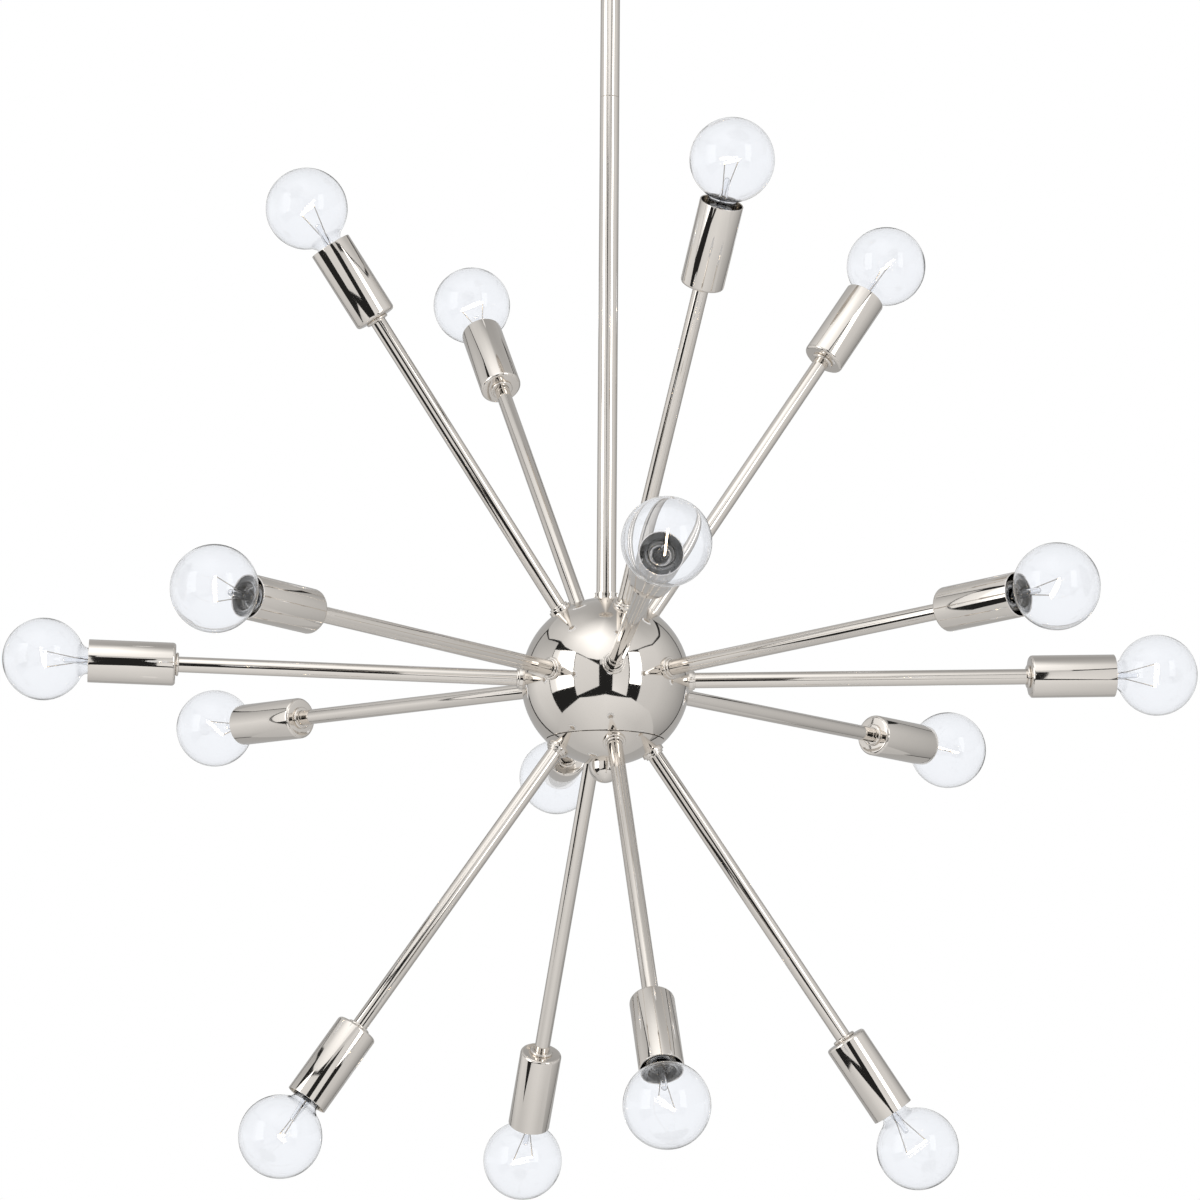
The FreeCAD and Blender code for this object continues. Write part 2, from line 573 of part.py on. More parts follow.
def socket_cup():
    """A drawn cup with a flat back, a rounded back edge and an open mouth."""
    slant = 1 - math.sqrt(0.5)
    outer = CUP_RADIUS
    inner = outer - CUP_WALL
    floor = CUP_BACK + CUP_WALL
    edge = CUP_EDGE_RADIUS
    inner_edge = edge - CUP_WALL
    bore = ARM_RADIUS + FIT
    return turned([(bore, CUP_BACK), (outer - edge, CUP_BACK),
                   (outer, CUP_BACK + edge, outer - slant * edge, CUP_BACK + slant * edge),
                   (outer, CUP_MOUTH), (inner, CUP_MOUTH), (inner, floor + inner_edge),
                   (inner - inner_edge, floor, inner - slant * inner_edge, floor + slant * inner_edge),
                   (bore, floor)])


def socket_insulator():
    """The moulded body of a candelabra socket, screwed onto the end of the arm."""
    back = CUP_NUT_END + SEAT_GAP
    body = rod(INSULATOR_DIAMETER / 2, back, INSULATOR_FRONT)
    body = body.cut(rod(ARM_RADIUS + FIT, back - CUT_PAST, back + INSULATOR_BACK_WALL))
    body = body.cut(rod(INSULATOR_REAR_BORE / 2, back + INSULATOR_BACK_WALL,
                        SOCKET_FLOOR - INSULATOR_FLOOR))
    return body.cut(rod(screw_shell_radius() + FIT, SOCKET_FLOOR, INSULATOR_FRONT + CUT_PAST))


def screw_shell_radius():
    return BASE_DIAMETER / 2 + SCREW_SHELL_GAP + SCREW_SHELL_WALL


def socket_screw_shell():
    outer = screw_shell_radius()
    inner = outer - SCREW_SHELL_WALL
    hole = SCREW_SHELL_HOLE / 2
    front = INSULATOR_FRONT - SCREW_SHELL_SETBACK
    plate = SOCKET_FLOOR + SCREW_SHELL_WALL
    return turned([(hole, SOCKET_FLOOR), (outer, SOCKET_FLOOR), (outer, front), (inner, front),
                   (inner, plate), (hole, plate)])


def socket_contact():
    """The sprung centre contact under the tip of the bulb."""
    foot = SOCKET_FLOOR + CONTACT_THICKNESS
    top = BULB_TIP - CONTACT_GAP
    dome = CONTACT_SPRING_DIAMETER / 2
    shift = dome * math.sqrt(0.5)
    return turned([(0, SOCKET_FLOOR), (CONTACT_DIAMETER / 2, SOCKET_FLOOR), (CONTACT_DIAMETER / 2, foot),
                   (dome, foot), (dome, top - dome),
                   (0, top, shift, top - dome + shift)])


# Bulbs, on the Z axis with the hub centre at the origin -------------------------------------------

def glass_body(offset):
    """The filled outline of the glass, drawn in by an offset."""
    globe = GLOBE_RADIUS - offset
    shoulder = BULB_SHOULDER_DIAMETER / 2 - offset
    neck = BULB_NECK_DIAMETER / 2 - offset
    foot = BULB_NECK_FOOT_DIAMETER / 2 - offset
    tail = GLASS_TAIL_DIAMETER / 2 - offset
    shoulder_z = ARM_REACH - math.sqrt(globe ** 2 - shoulder ** 2)
    neck_z = ARM_REACH - BULB_NECK_SETBACK
    tail_z = BASE_TOP + BASE_RIM_GAP + offset
    foot_z = tail_z + BULB_NECK_ROUNDING
    end = BASE_TOP - GLASS_TAIL_LENGTH - offset
    return turned([(0, ARM_REACH + globe), (shoulder, shoulder_z, globe, ARM_REACH),
                   (neck, neck_z, neck + 0.28 * (shoulder - neck), neck_z + 0.55 * (shoulder_z - neck_z)),
                   (foot, foot_z), (tail, tail_z), (tail, end), (0, end)])


def bulb_base():
    """The threaded can of the base, drawn as ridges."""
    crest = BASE_DIAMETER / 2
    root = crest - BASE_THREAD_DEPTH
    profile = [(root, BASE_BOTTOM)]
    for i in range(BASE_THREAD_COUNT):
        low = BASE_BOTTOM + i * BASE_THREAD_PITCH
        profile.append((root, low + BASE_THREAD_PITCH, crest, low + BASE_THREAD_PITCH / 2))
    threads_end = BASE_BOTTOM + BASE_THREAD_COUNT * BASE_THREAD_PITCH
    profile += [(crest, threads_end), (crest, BASE_TOP), (root - BASE_WALL, BASE_TOP),
                (root - BASE_WALL, BASE_BOTTOM)]
    return turned(profile)


def bulb_base_insulator():
    tip_top = BULB_TIP + TIP_HEIGHT
    outer = BASE_DIAMETER / 2 - BASE_THREAD_DEPTH - BASE_WALL - RUNNING_FIT
    top = BASE_BOTTOM + BASE_INSULATOR_RISE
    return turned([(0, tip_top), (TIP_DIAMETER / 2 + FIT, tip_top), (outer, BASE_BOTTOM), (outer, top),
                   (0, top)])


def bulb_mount():
    """The glass mount that stands on the tail of the envelope and holds the lead wires."""
    low = BASE_TOP - GLASS_TAIL_LENGTH + FIT
    flare = GLASS_TAIL_DIAMETER / 2 - GLASS_WALL - RUNNING_FIT
    radius = MOUNT_DIAMETER / 2
    top = ARM_REACH - MOUNT_TOP_SETBACK
    return turned([(0, low), (flare, low), (flare, low + MOUNT_FLARE_RIM),
                   (radius, low + MOUNT_FLARE_HEIGHT), (radius, top - radius),
                   (0, top, radius * math.sqrt(0.5), top - radius * (1 - math.sqrt(0.5)))])


def bent_wire(points, radius):
    wire = None
    for here, there in zip(points, points[1:]):
        run = Part.makeCylinder(radius, (there - here).Length, here, there - here)
        wire = run if wire is None else wire.fuse(run).fuse(Part.makeSphere(radius, here))
    return wire.removeSplitter()


def bulb_leads():
    """Two wires that rise from the mount and spread to the ends of the filament."""
    radius = LEAD_WIRE_DIAMETER / 2
    mount_top = ARM_REACH - MOUNT_TOP_SETBACK
    mount_radius = MOUNT_DIAMETER / 2
    start = mount_top - mount_radius + math.sqrt(mount_radius ** 2 - (LEAD_WIRE_SPACING / 2 - radius) ** 2)
    end = ARM_REACH - FILAMENT_SETBACK - FILAMENT_DIAMETER / 2 - radius - RUNNING_FIT
    leads = []
    for side in (-1, 1):
        near = side * LEAD_WIRE_SPACING / 2
        far = side * (FILAMENT_LENGTH / 2 - radius)
        leads.append(bent_wire([Vector(near, 0, start), Vector(near, 0, start + LEAD_WIRE_BEND_HEIGHT),
                                Vector(far, 0, end)], radius))
    return leads


def bulb_filament():
    start = Vector(-FILAMENT_LENGTH / 2, 0, ARM_REACH - FILAMENT_SETBACK)
    return Part.makeCylinder(FILAMENT_DIAMETER / 2, FILAMENT_LENGTH, start, X_AXIS)


def bulb():
    glass = glass_body(0).cut(glass_body(GLASS_WALL))
    tail_end = BASE_TOP - GLASS_TAIL_LENGTH
    glass = glass.cut(rod(GLASS_TAIL_DIAMETER / 2 - GLASS_WALL, tail_end - CUT_PAST, tail_end + CUT_PAST))
    tip = rod(TIP_DIAMETER / 2, BULB_TIP, BULB_TIP + TIP_HEIGHT)
    pieces = [glass, bulb_base(), bulb_base_insulator(), tip, bulb_mount()]
    return pieces + bulb_leads() + [bulb_filament()]


# Wires --------------------------------------------------------------------------------------------

def wire_pair(diameter, low, high):
    offset = (diameter + WIRE_SPACING) / 2
    return [rod(diameter / 2, low, high, 0, side * offset) for side in (-1, 1)]


def fixture_wires():
    """The pair in the stem, from the pivot down into the hub, and a pair in every arm."""
    wires = wire_pair(STEM_WIRE_DIAMETER, HUB_Z, PIVOT_Z)
    arm_low = SPLICE_DIAMETER / 2 + WIRE_END_GAP
    arm_high = SOCKET_FLOOR - INSULATOR_FLOOR - WIRE_END_GAP
    for wire in wire_pair(ARM_WIRE_DIAMETER, arm_low, arm_high):
        wires += on_every_arm(wire)
    return wires


def canopy_leads():
    """Two wires that rise through the stud and turn towards their connectors."""
    leads = []
    offset = (STEM_WIRE_DIAMETER + WIRE_SPACING) / 2
    level = -CANOPY_WIRE_DROP
    bend = CANOPY_WIRE_BEND
    slant = math.sqrt(0.5)
    for side in (-1, 1):
        turn_start = Vector(0, side * offset, level - bend)
        turn_middle = Vector(0, side * (offset + bend * (1 - slant)), level - bend * (1 - slant))
        turn_end = Vector(0, side * (offset + bend), level)
        foot = Vector(0, side * offset, STUD_BOTTOM)
        stop = Vector(0, side * (CONNECTOR_START - WIRE_END_GAP), level)
        route = Part.Wire([Part.makeLine(foot, turn_start),
                           Part.Arc(turn_start, turn_middle, turn_end).toShape(),
                           Part.makeLine(turn_end, stop)])
        section = Part.Wire([Part.makeCircle(STEM_WIRE_DIAMETER / 2, foot, Z_AXIS)])
        leads.append(route.makePipeShell([section], True, False))
    return leads


def canopy_connectors():
    """Two twist-on connectors, where the leads meet the supply of the building."""
    connectors = []
    for side in (-1, 1):
        start = Vector(0, side * CONNECTOR_START, -CANOPY_WIRE_DROP)
        connectors.append(Part.makeCone(CONNECTOR_MOUTH_DIAMETER / 2, CONNECTOR_END_DIAMETER / 2,
                                        CONNECTOR_LENGTH, start, Y_AXIS * side))
    return connectors


# Files --------------------------------------------------------------------------------------------

def sub_parts():
    parts = {
        "mounting_strap": mounting_strap(),
        "canopy": canopy(),
        "canopy_screws": canopy_screws(),
        "canopy_ball_nuts": canopy_ball_nuts(),
        "canopy_leads": canopy_leads(),
        "canopy_connectors": canopy_connectors(),
        "swivel_stud": swivel_stud(),
        "stud_nut": stud_nut(),
        "swivel_fork": swivel_fork(),
        "swivel_pins": swivel_pins(),
        "swivel_tongue": swivel_tongue(),
        "upper_stem": stem_piece(STEM_JOINT, STEM_TOP),
        "stem_coupling": stem_coupling(),
        "lower_stem": stem_piece(STEM_BOTTOM, STEM_JOINT),
        "hub_stem_collar": hub_stem_collar(),
        "hub_shell": hub_shell(),
        "hub_lower_cap": hub_lower_cap(),
        "hub_centre_pipe": hub_centre_pipe(),
        "hub_splice": hub_splice(),
        "finial": finial(),
        "lock_nuts": lock_nuts(),
        "arm_hub_collars": on_every_arm(arm_hub_collar()),
        "cup_neck_rings": on_every_arm(cup_neck_ring()),
        "socket_cups": on_every_arm(socket_cup()),
        "socket_insulators": on_every_arm(socket_insulator()),
        "socket_screw_shells": on_every_arm(socket_screw_shell()),
        "socket_contacts": on_every_arm(socket_contact()),
        "fixture_wires": fixture_wires(),
    }
    tube = arm_tube()
    one_bulb = Part.makeCompound(bulb())
    for number, (rise, turn) in enumerate(all_arms(), 1):
        parts["arm_tube_%02d" % number] = on_arm(tube, rise, turn)
        parts["bulb_%02d" % number] = on_arm(one_bulb, rise, turn)
    return parts


def main():
    os.makedirs("parts", exist_ok=True)
    for name, shape in sub_parts().items():
        if isinstance(shape, list):
            shape = Part.makeCompound(shape)
        shape.exportStep(os.path.join("parts", name + ".step"))


if __name__ == "__main__":
    main()
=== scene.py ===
import json
import math

import bmesh
import bpy
from mathutils import Matrix, Vector

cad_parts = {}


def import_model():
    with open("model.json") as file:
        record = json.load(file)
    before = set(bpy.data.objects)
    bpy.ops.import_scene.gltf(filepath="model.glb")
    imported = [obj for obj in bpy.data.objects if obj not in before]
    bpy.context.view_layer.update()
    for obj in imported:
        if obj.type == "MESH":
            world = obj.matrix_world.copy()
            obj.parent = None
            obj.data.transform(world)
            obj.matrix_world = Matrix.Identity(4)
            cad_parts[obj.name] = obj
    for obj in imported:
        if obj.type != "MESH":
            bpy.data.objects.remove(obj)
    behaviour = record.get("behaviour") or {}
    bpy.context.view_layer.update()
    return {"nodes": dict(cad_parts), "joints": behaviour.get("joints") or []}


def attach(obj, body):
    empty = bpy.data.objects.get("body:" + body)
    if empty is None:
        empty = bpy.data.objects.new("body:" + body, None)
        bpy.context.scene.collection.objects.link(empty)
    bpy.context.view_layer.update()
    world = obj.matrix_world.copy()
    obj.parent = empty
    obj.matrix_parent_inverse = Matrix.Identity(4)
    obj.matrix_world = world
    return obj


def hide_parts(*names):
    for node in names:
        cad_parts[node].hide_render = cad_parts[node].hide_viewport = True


# Sputnik chandelier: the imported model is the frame, and the visible metal, glass and lamp
# fittings are modelled here at its sizes. Metres; the front is towards -Y and +Z points up.

MM = 0.001
MERGE_GAP = 4e-6                # metres: points this close become one
PICK_GAP = 2e-5                 # metres: how near an edge lies to the place asked for

# Sizes, in millimetres. Heights on an arm or a bulb run from the hub's centre along the arm.
THREAD_HOLE = 4.95              # radius of a hole for the lamp thread
CANOPY_RADIUS = 63.5
CANOPY_DEPTH = 26.0
CANOPY_WALL = 1.0
CANOPY_CORNER = 14.0
CANOPY_RIM_EDGE = 0.3
CANOPY_SCREW_HOLE = 2.2
BIT_PAST = 2.0                  # how far a bit stands out of what it drills
BALL_NUT_RADIUS = 5.5
BALL_NUT_SEAT = 3.75
BALL_NUT_SPREAD = 25.4
BALL_NUT_BORE = 1.0             # depth of its bore past the ball's centre
PIVOT_Z = -40.5
TONGUE_RADIUS = 7.3
TONGUE_NECK = 5.0
PIVOT_BORE = 2.05
PIVOT_BIT_REACH = 10.0
STEM_SOCKET_RADIUS = 8.0
STEM_SOCKET_TOP = -48.0
STEM_SOCKET_BOTTOM = -63.0
STEM_SOCKET_FIT = 0.1
STEM_SOCKET_TOP_EDGE = 0.6
STEM_SOCKET_LOW_EDGE = 0.4
WIRE_BORE = 3.5
STEM_RADIUS = 6.35
STEM_BORE = 5.35
STEM_TOP = -51.0
STEM_JOINT = -207.6
STEM_BOTTOM = -539.0
STEM_EDGE = 0.3
HUB_Z = -596.4
HUB_RADIUS = 54.0
HUB_WALL = 1.2
HUB_SEAM = 38.0
HUB_SEAM_EDGE = 0.25
HUB_SEAM_GAP = 0.4              # the open line between the shell and its cap
RING_RADIUS = 7.9
RING_INNER_RADIUS = 7.45
RING_TOP = 57.4
RING_RIM = 0.7
KNURLS = 36
KNURL_DEPTH = 0.35
KNURL_STEPS = 4                 # segments to a knurl, two of them pressed in
FINIAL_RADIUS = 10.4
FINIAL_DROP = 1.3
FINIAL_BORE = 5.1               # depth of its bore under the ball
ARM_RADIUS = 5.0
ARM_BORE = 3.75
ARM_START = 46.0
ARM_END = 281.9
ARM_HOLE = 5.1
ARM_EDGE = 0.3
ARM_BIT_REACH = 6.0             # each way from the ball's surface
FLANGE_RADIUS = 7.35
FLANGE_TOP = 55.8
STEP_RADIUS = 6.1
STEP_TOP = 57.2
COLLAR_EDGE = 0.5
CUP_RADIUS = 13.7
CUP_WALL = 0.8
CUP_BACK = 274.5
CUP_MOUTH = 329.8
CUP_EDGE = 2.0
CUP_LIP_EDGE = 0.25
NECK_RING_RADIUS = 7.5
NECK_RING_THICKNESS = 1.9
NECK_RING_FLAT = 0.1            # half of the flat between its rounded edges
GLOBE_Z = 358.0
GLOBE_RADIUS = 26.2
GLASS_WALL = 0.7
SHOULDER_RADIUS = 11.0
SHOULDER_BOW = 0.44             # how much the glass curves in between globe and neck, and
SHOULDER_LAG = 0.1              # how much that curve lags in height, as shares
NECK_RADIUS = 8.6
NECK_Z = 331.5
NECK_FOOT_RADIUS = 8.0
NECK_FOOT_ROUNDING = 0.9
TAIL_RADIUS = 5.1
TAIL_END = 318.0
BASE_TOP = 325.2
BASE_RIM = 321.4
BASE_BOTTOM = 310.9
BASE_CREST = 5.95
BASE_ROOT = 5.5
BASE_WALL = 0.25
BASE_STEP = 0.8                 # height of the slope under the rim
BASE_RIM_GAP = 0.2
BASE_FIT = 0.05
BASE_INSULATOR_RISE = 1.5
THREAD_PITCH = 2.54
THREAD_TURNS = 4
THREAD_START = 1.0
THREAD_BEAD = 1.1
THREAD_SHARE = 0.8              # of the pitch that the bead takes
BASE_TIP = 308.2
TIP_RADIUS = 2.4
TIP_HEIGHT = 1.0
TIP_EDGE = 0.6
TIP_CLEARANCE = 0.1
TIP_HOLE_EDGE = 0.2
MOUNT_FLARE = 4.35
MOUNT_FOOT = 3.2
MOUNT_PRESS_Z = 331.0           # where the mount narrows and lets the leads out
MOUNT_END = 1.9
MOUNT_TOP = 346.0
MOUNT_WALL = 0.7
MOUNT_FIT = 0.1
LEAD_RADIUS = 0.35
LEAD_FOOT = 1.1                 # the leads' distance from the axis: in the press,
LEAD_EXIT = 1.3                 # where they come out of it
LEAD_BEND = 2.6                 # and where they spread
LEAD_BEND_Z = 338.5
LEAD_DROP = 0.6                 # how far under the filament's axis they end
FILAMENT_Z = 357.0
FILAMENT_LENGTH = 16.0
FILAMENT_RADIUS = 0.6
FILAMENT_WIRE = 0.2
FILAMENT_TURNS = 30
FLOOR_Z = -2.0                  # metres, under the ceiling
FLOOR_SIZE = 40                 # metres

# The camera, in degrees, millimetres of lens and metres from the hub
CAMERA_RISE = -10.5
CAMERA_PAN = 0.07
CAMERA_PITCH = 0.92
CAMERA_ROLL = -0.40
CAMERA_LENS = 152.3
CAMERA_SENSOR = 36
CAMERA_DISTANCE = 3.25

ROUND = 64                      # segments round a turned piece
BALL_ROUND = 128                # the ball and the canopy
CUP_ROUND = 96
FINE_ROUND = 48                 # nuts and bulb bases
BIT_ROUND = 32                  # bits and the tips of the bulbs

# How far each bulb is turned in its socket, in degrees about its arm
TWIST = {"01": 83, "02": 51, "03": 118, "04": 20, "05": 60, "06": 30, "07": 30, "08": 94,
         "09": 37, "10": 177, "11": 141, "12": 20, "13": 138, "14": 90, "15": 157, "16": 171}


# Modelling ----------------------------------------------------------------------------------------

def deselect_all():
    if bpy.context.object and bpy.context.object.mode != "OBJECT":
        bpy.ops.object.mode_set(mode="OBJECT")
    bpy.ops.object.select_all(action="DESELECT")


def take(piece):
    """Make a piece the only one selected."""
    deselect_all()
    piece.select_set(True)
    bpy.context.view_layer.objects.active = piece
    return piece


def edit(piece, select="SELECT"):
    take(piece)
    bpy.ops.object.mode_set(mode="EDIT")
    bpy.ops.mesh.select_mode(type="VERT")
    bpy.ops.mesh.select_all(action=select)


def new_ring(name, segments, radius, location=(0, 0, 0), rotation=(0, 0, 0)):
    """A ring of edges to start a piece from, left open in edit mode with all of it selected."""
    deselect_all()
    bpy.ops.mesh.primitive_circle_add(vertices=segments, radius=radius, location=location,
                                      rotation=rotation)
    piece = bpy.context.object
    piece.name = piece.data.name = name
    bpy.ops.object.transform_apply(location=True, rotation=True)
    edit(piece)
    return piece


def finish_edit(piece):
    """Close doubled points, turn every face outwards and go back to object mode."""
    bpy.ops.mesh.select_all(action="SELECT")
    bpy.ops.mesh.remove_doubles(threshold=MERGE_GAP)
    bpy.ops.mesh.normals_make_consistent(inside=False)
    bpy.ops.object.mode_set(mode="OBJECT")
    return piece


def smooth(piece, angle=35):
    take(piece)
    bpy.ops.object.shade_smooth_by_angle(angle=math.radians(angle))
    return piece


def apply(piece, modifier):
    take(piece)
    bpy.ops.object.modifier_apply(modifier=modifier.name)
    return piece


def arc(radius, start, end, steps, z=0.0, r=0.0):
    """Profile points on a circle about (r, z). Angles in degrees: 0 is outwards, 90 is up."""
    points = []
    for i in range(steps + 1):
        angle = math.radians(start + (end - start) * i / steps)
        points.append((r + radius * math.cos(angle), z + radius * math.sin(angle)))
    return points


def on_ball(radius):
    """Height of the ball's surface above its centre, at a distance from the axis."""
    return math.sqrt(HUB_RADIUS ** 2 - radius ** 2)


def turned(name, profile, segments=ROUND, edges=(), angle=35):
    """Turn a profile of (radius, z) about Z, ring by ring. edges has (radius, z, edge radius)."""
    pole = 1e-3                                     # a pole starts as a ring this small, in mm
    points = [(max(r, pole) * MM, z * MM) for r, z in profile]
    piece = new_ring(name, segments, points[0][0], (0, 0, points[0][1]))
    for (radius, z), (next_radius, next_z) in zip(points, points[1:]):
        bpy.ops.mesh.extrude_region_move(TRANSFORM_OT_translate={"value": (0, 0, next_z - z)})
        scale = next_radius / radius
        bpy.ops.transform.resize(value=(scale, scale, 1), center_override=(0, 0, next_z))
    finish_edit(piece)
    for radius, z, size in edges:
        round_edge(piece, radius * MM, z * MM, size * MM)
    return smooth(piece, angle)


def round_edge(piece, radius, z, size):
    """Bevel the ring edge at a radius and height."""
    edit(piece, "DESELECT")
    bpy.ops.mesh.select_mode(type="EDGE")
    mesh = bmesh.from_edit_mesh(piece.data)
    for line in mesh.edges:
        line.select = all(abs(v.co.z - z) < PICK_GAP
                          and abs(v.co.xy.length - radius) < PICK_GAP for v in line.verts)
    bmesh.update_edit_mesh(piece.data)
    bpy.ops.mesh.bevel(offset=size, segments=4, profile=0.5, affect="EDGES")
    bpy.ops.mesh.select_mode(type="VERT")
    bpy.ops.object.mode_set(mode="OBJECT")


def wound(name, radius, thickness, height, low, pitch, turns, steps, sides):
    """A bead wound up about Z, closed at both ends: a thread's ridge or a coil of wire."""
    piece = new_ring(name, sides, MM, rotation=(math.pi / 2, 0, 0))
    bpy.ops.transform.resize(value=(thickness / 2, 1, height / 2), center_override=(0, 0, 0))
    bpy.ops.transform.translate(value=((radius - thickness / 2) * MM, 0, low * MM))
    bpy.ops.object.mode_set(mode="OBJECT")
    winding = piece.modifiers.new("winding", "SCREW")
    winding.axis = "Z"
    winding.screw_offset = pitch * MM
    winding.iterations = turns
    winding.steps = winding.render_steps = steps
    apply(piece, winding)
    edit(piece)
    bpy.ops.mesh.fill_holes(sides=0)
    finish_edit(piece)
    return smooth(piece, 60)


def wire(name, points, radius, sides=8):
    """A wire drawn up from its first point (x, z) by extrusion, with closed ends."""
    (x, z), rest = points[0], points[1:]
    piece = new_ring(name, sides, radius * MM, (x * MM, 0, z * MM))
    for next_x, next_z in rest:
        move = ((next_x - x) * MM, 0, (next_z - z) * MM)
        bpy.ops.mesh.extrude_region_move(TRANSFORM_OT_translate={"value": move})
        x, z = next_x, next_z
    bpy.ops.mesh.select_all(action="SELECT")
    bpy.ops.mesh.fill_holes(sides=0)
    finish_edit(piece)
    return smooth(piece, 50)


def joined(name, pieces):
    deselect_all()
    for piece in pieces:
        piece.select_set(True)
    bpy.context.view_layer.objects.active = pieces[0]
    bpy.ops.object.join()
    pieces[0].name = pieces[0].data.name = name
    return pieces[0]


def copy_to(piece, name, place):
    """A copy with its own mesh, carried to its place."""
    copy = piece.copy()
    copy.data = piece.data.copy()
    copy.name = copy.data.name = name
    bpy.context.scene.collection.objects.link(copy)
    copy.data.transform(place)
    return copy


def at(x=0.0, z=0.0):
    return Matrix.Translation((x * MM, 0, z * MM))


def drill(piece, bit):
    """Cut a bit out of a piece and put the bit away."""
    cut = piece.modifiers.new("cut", "BOOLEAN")
    cut.operation = "DIFFERENCE"
    cut.solver = "EXACT"
    cut.object = bit
    apply(piece, cut)
    bpy.data.objects.remove(bit)
    return piece


def coat(piece, *materials):
    for material in materials:
        piece.data.materials.append(material)
    return piece


def mount(piece, body, slot, *nodes):
    """Say what a piece moves with and which CAD nodes it stands for, and hide those nodes. The slot
    argument, meant for its finish, is not used.
    """
    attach(piece, body)
    if nodes:
        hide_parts(*nodes)
    return piece


# Materials ----------------------------------------------------------------------------------------

def add(tree, kind, **inputs):
    node = tree.nodes.new(kind)
    for name, value in inputs.items():
        node.inputs[name.replace("_", " ")].default_value = value
    return node


def math_node(tree, operation):
    node = tree.nodes.new("ShaderNodeMath")
    node.operation = operation
    return node


def buffed_surface():
    """A group for plated and moulded surfaces: a faint uneven haze and slow waves."""
    tree = bpy.data.node_groups.new("buffed_surface", "ShaderNodeTree")
    for label, value in (("Roughness", 0.05), ("Haze", 0.03), ("Haze Scale", 60.0),
                         ("Wave Scale", 25.0)):
        socket = tree.interface.new_socket(label, in_out="INPUT", socket_type="NodeSocketFloat")
        socket.default_value = value
    for label in ("Roughness", "Height", "Dullness"):
        tree.interface.new_socket(label, in_out="OUTPUT", socket_type="NodeSocketFloat")
    given = tree.nodes.new("NodeGroupInput")
    result = tree.nodes.new("NodeGroupOutput")
    place = tree.nodes.new("ShaderNodeTexCoord")
    haze = add(tree, "ShaderNodeTexNoise", Detail=5.0, Roughness=0.6)
    wave = add(tree, "ShaderNodeTexNoise", Detail=1.0)
    haze_part = math_node(tree, "MULTIPLY")
    total = math_node(tree, "ADD")
    link = tree.links.new
    link(place.outputs["Object"], haze.inputs["Vector"])
    link(given.outputs["Haze Scale"], haze.inputs["Scale"])
    link(haze.outputs["Fac"], haze_part.inputs[0])
    link(given.outputs["Haze"], haze_part.inputs[1])
    link(haze_part.outputs[0], total.inputs[0])
    link(given.outputs["Roughness"], total.inputs[1])
    link(total.outputs[0], result.inputs["Roughness"])
    link(haze.outputs["Fac"], result.inputs["Dullness"])
    link(place.outputs["Object"], wave.inputs["Vector"])
    link(given.outputs["Wave Scale"], wave.inputs["Scale"])
    link(wave.outputs["Fac"], result.inputs["Height"])
    return tree


def new_material(name):
    material = bpy.data.materials.new(name)
    material.use_nodes = True
    tree = material.node_tree
    return material, tree, tree.nodes["Principled BSDF"]


def finish(name, group, clean, dull, metallic, relief, **values):
    """A finish on the buffed surface group. It shades from a clean to a dull colour."""
    material, tree, shader = new_material(name)
    surface = tree.nodes.new("ShaderNodeGroup")
    surface.node_tree = group
    for label, value in values.items():
        surface.inputs[label.replace("_", " ")].default_value = value
    shade = tree.nodes.new("ShaderNodeMix")
    shade.data_type = "RGBA"
    shade.inputs["A"].default_value = (*clean, 1)
    shade.inputs["B"].default_value = (*dull, 1)
    bump = add(tree, "ShaderNodeBump", Distance=relief)
    shader.inputs["Metallic"].default_value = metallic
    link = tree.links.new
    link(surface.outputs["Dullness"], shade.inputs["Factor"])
    link(shade.outputs["Result"], shader.inputs["Base Color"])
    link(surface.outputs["Roughness"], shader.inputs["Roughness"])
    link(surface.outputs["Height"], bump.inputs["Height"])
    link(bump.outputs["Normal"], shader.inputs["Normal"])
    return material


def blown_glass(group):
    """Clear glass, faintly blue, with the slow waves of a blown wall."""
    material, tree, shader = new_material("blown_glass")
    shader.inputs["Base Color"].default_value = (0.955, 0.965, 0.985, 1)
    shader.inputs["Roughness"].default_value = 0.0
    shader.inputs["IOR"].default_value = 1.47
    shader.inputs["Transmission Weight"].default_value = 1.0
    surface = tree.nodes.new("ShaderNodeGroup")
    surface.node_tree = group
    surface.inputs["Wave Scale"].default_value = 40.0
    bump = add(tree, "ShaderNodeBump", Distance=0.0003)
    tree.links.new(surface.outputs["Height"], bump.inputs["Height"])
    tree.links.new(bump.outputs["Normal"], shader.inputs["Normal"])
    return material


def lit_tungsten():
    """The glowing filament, a little hotter in some turns than in others."""
    material, tree, shader = new_material("lit_tungsten")
    shader.inputs["Base Color"].default_value = (0.1, 0.09, 0.08, 1)
    shader.inputs["Emission Strength"].default_value = 14.0
    place = tree.nodes.new("ShaderNodeTexCoord")
    heat = add(tree, "ShaderNodeTexNoise", Scale=300.0, Detail=1.0)
    glow = tree.nodes.new("ShaderNodeMix")
    glow.data_type = "RGBA"
    glow.inputs["A"].default_value = (1.0, 0.72, 0.42, 1)
    glow.inputs["B"].default_value = (1.0, 0.84, 0.6, 1)
    tree.links.new(place.outputs["Object"], heat.inputs["Vector"])
    tree.links.new(heat.outputs["Fac"], glow.inputs["Factor"])
    tree.links.new(glow.outputs["Result"], shader.inputs["Emission Color"])
    return material


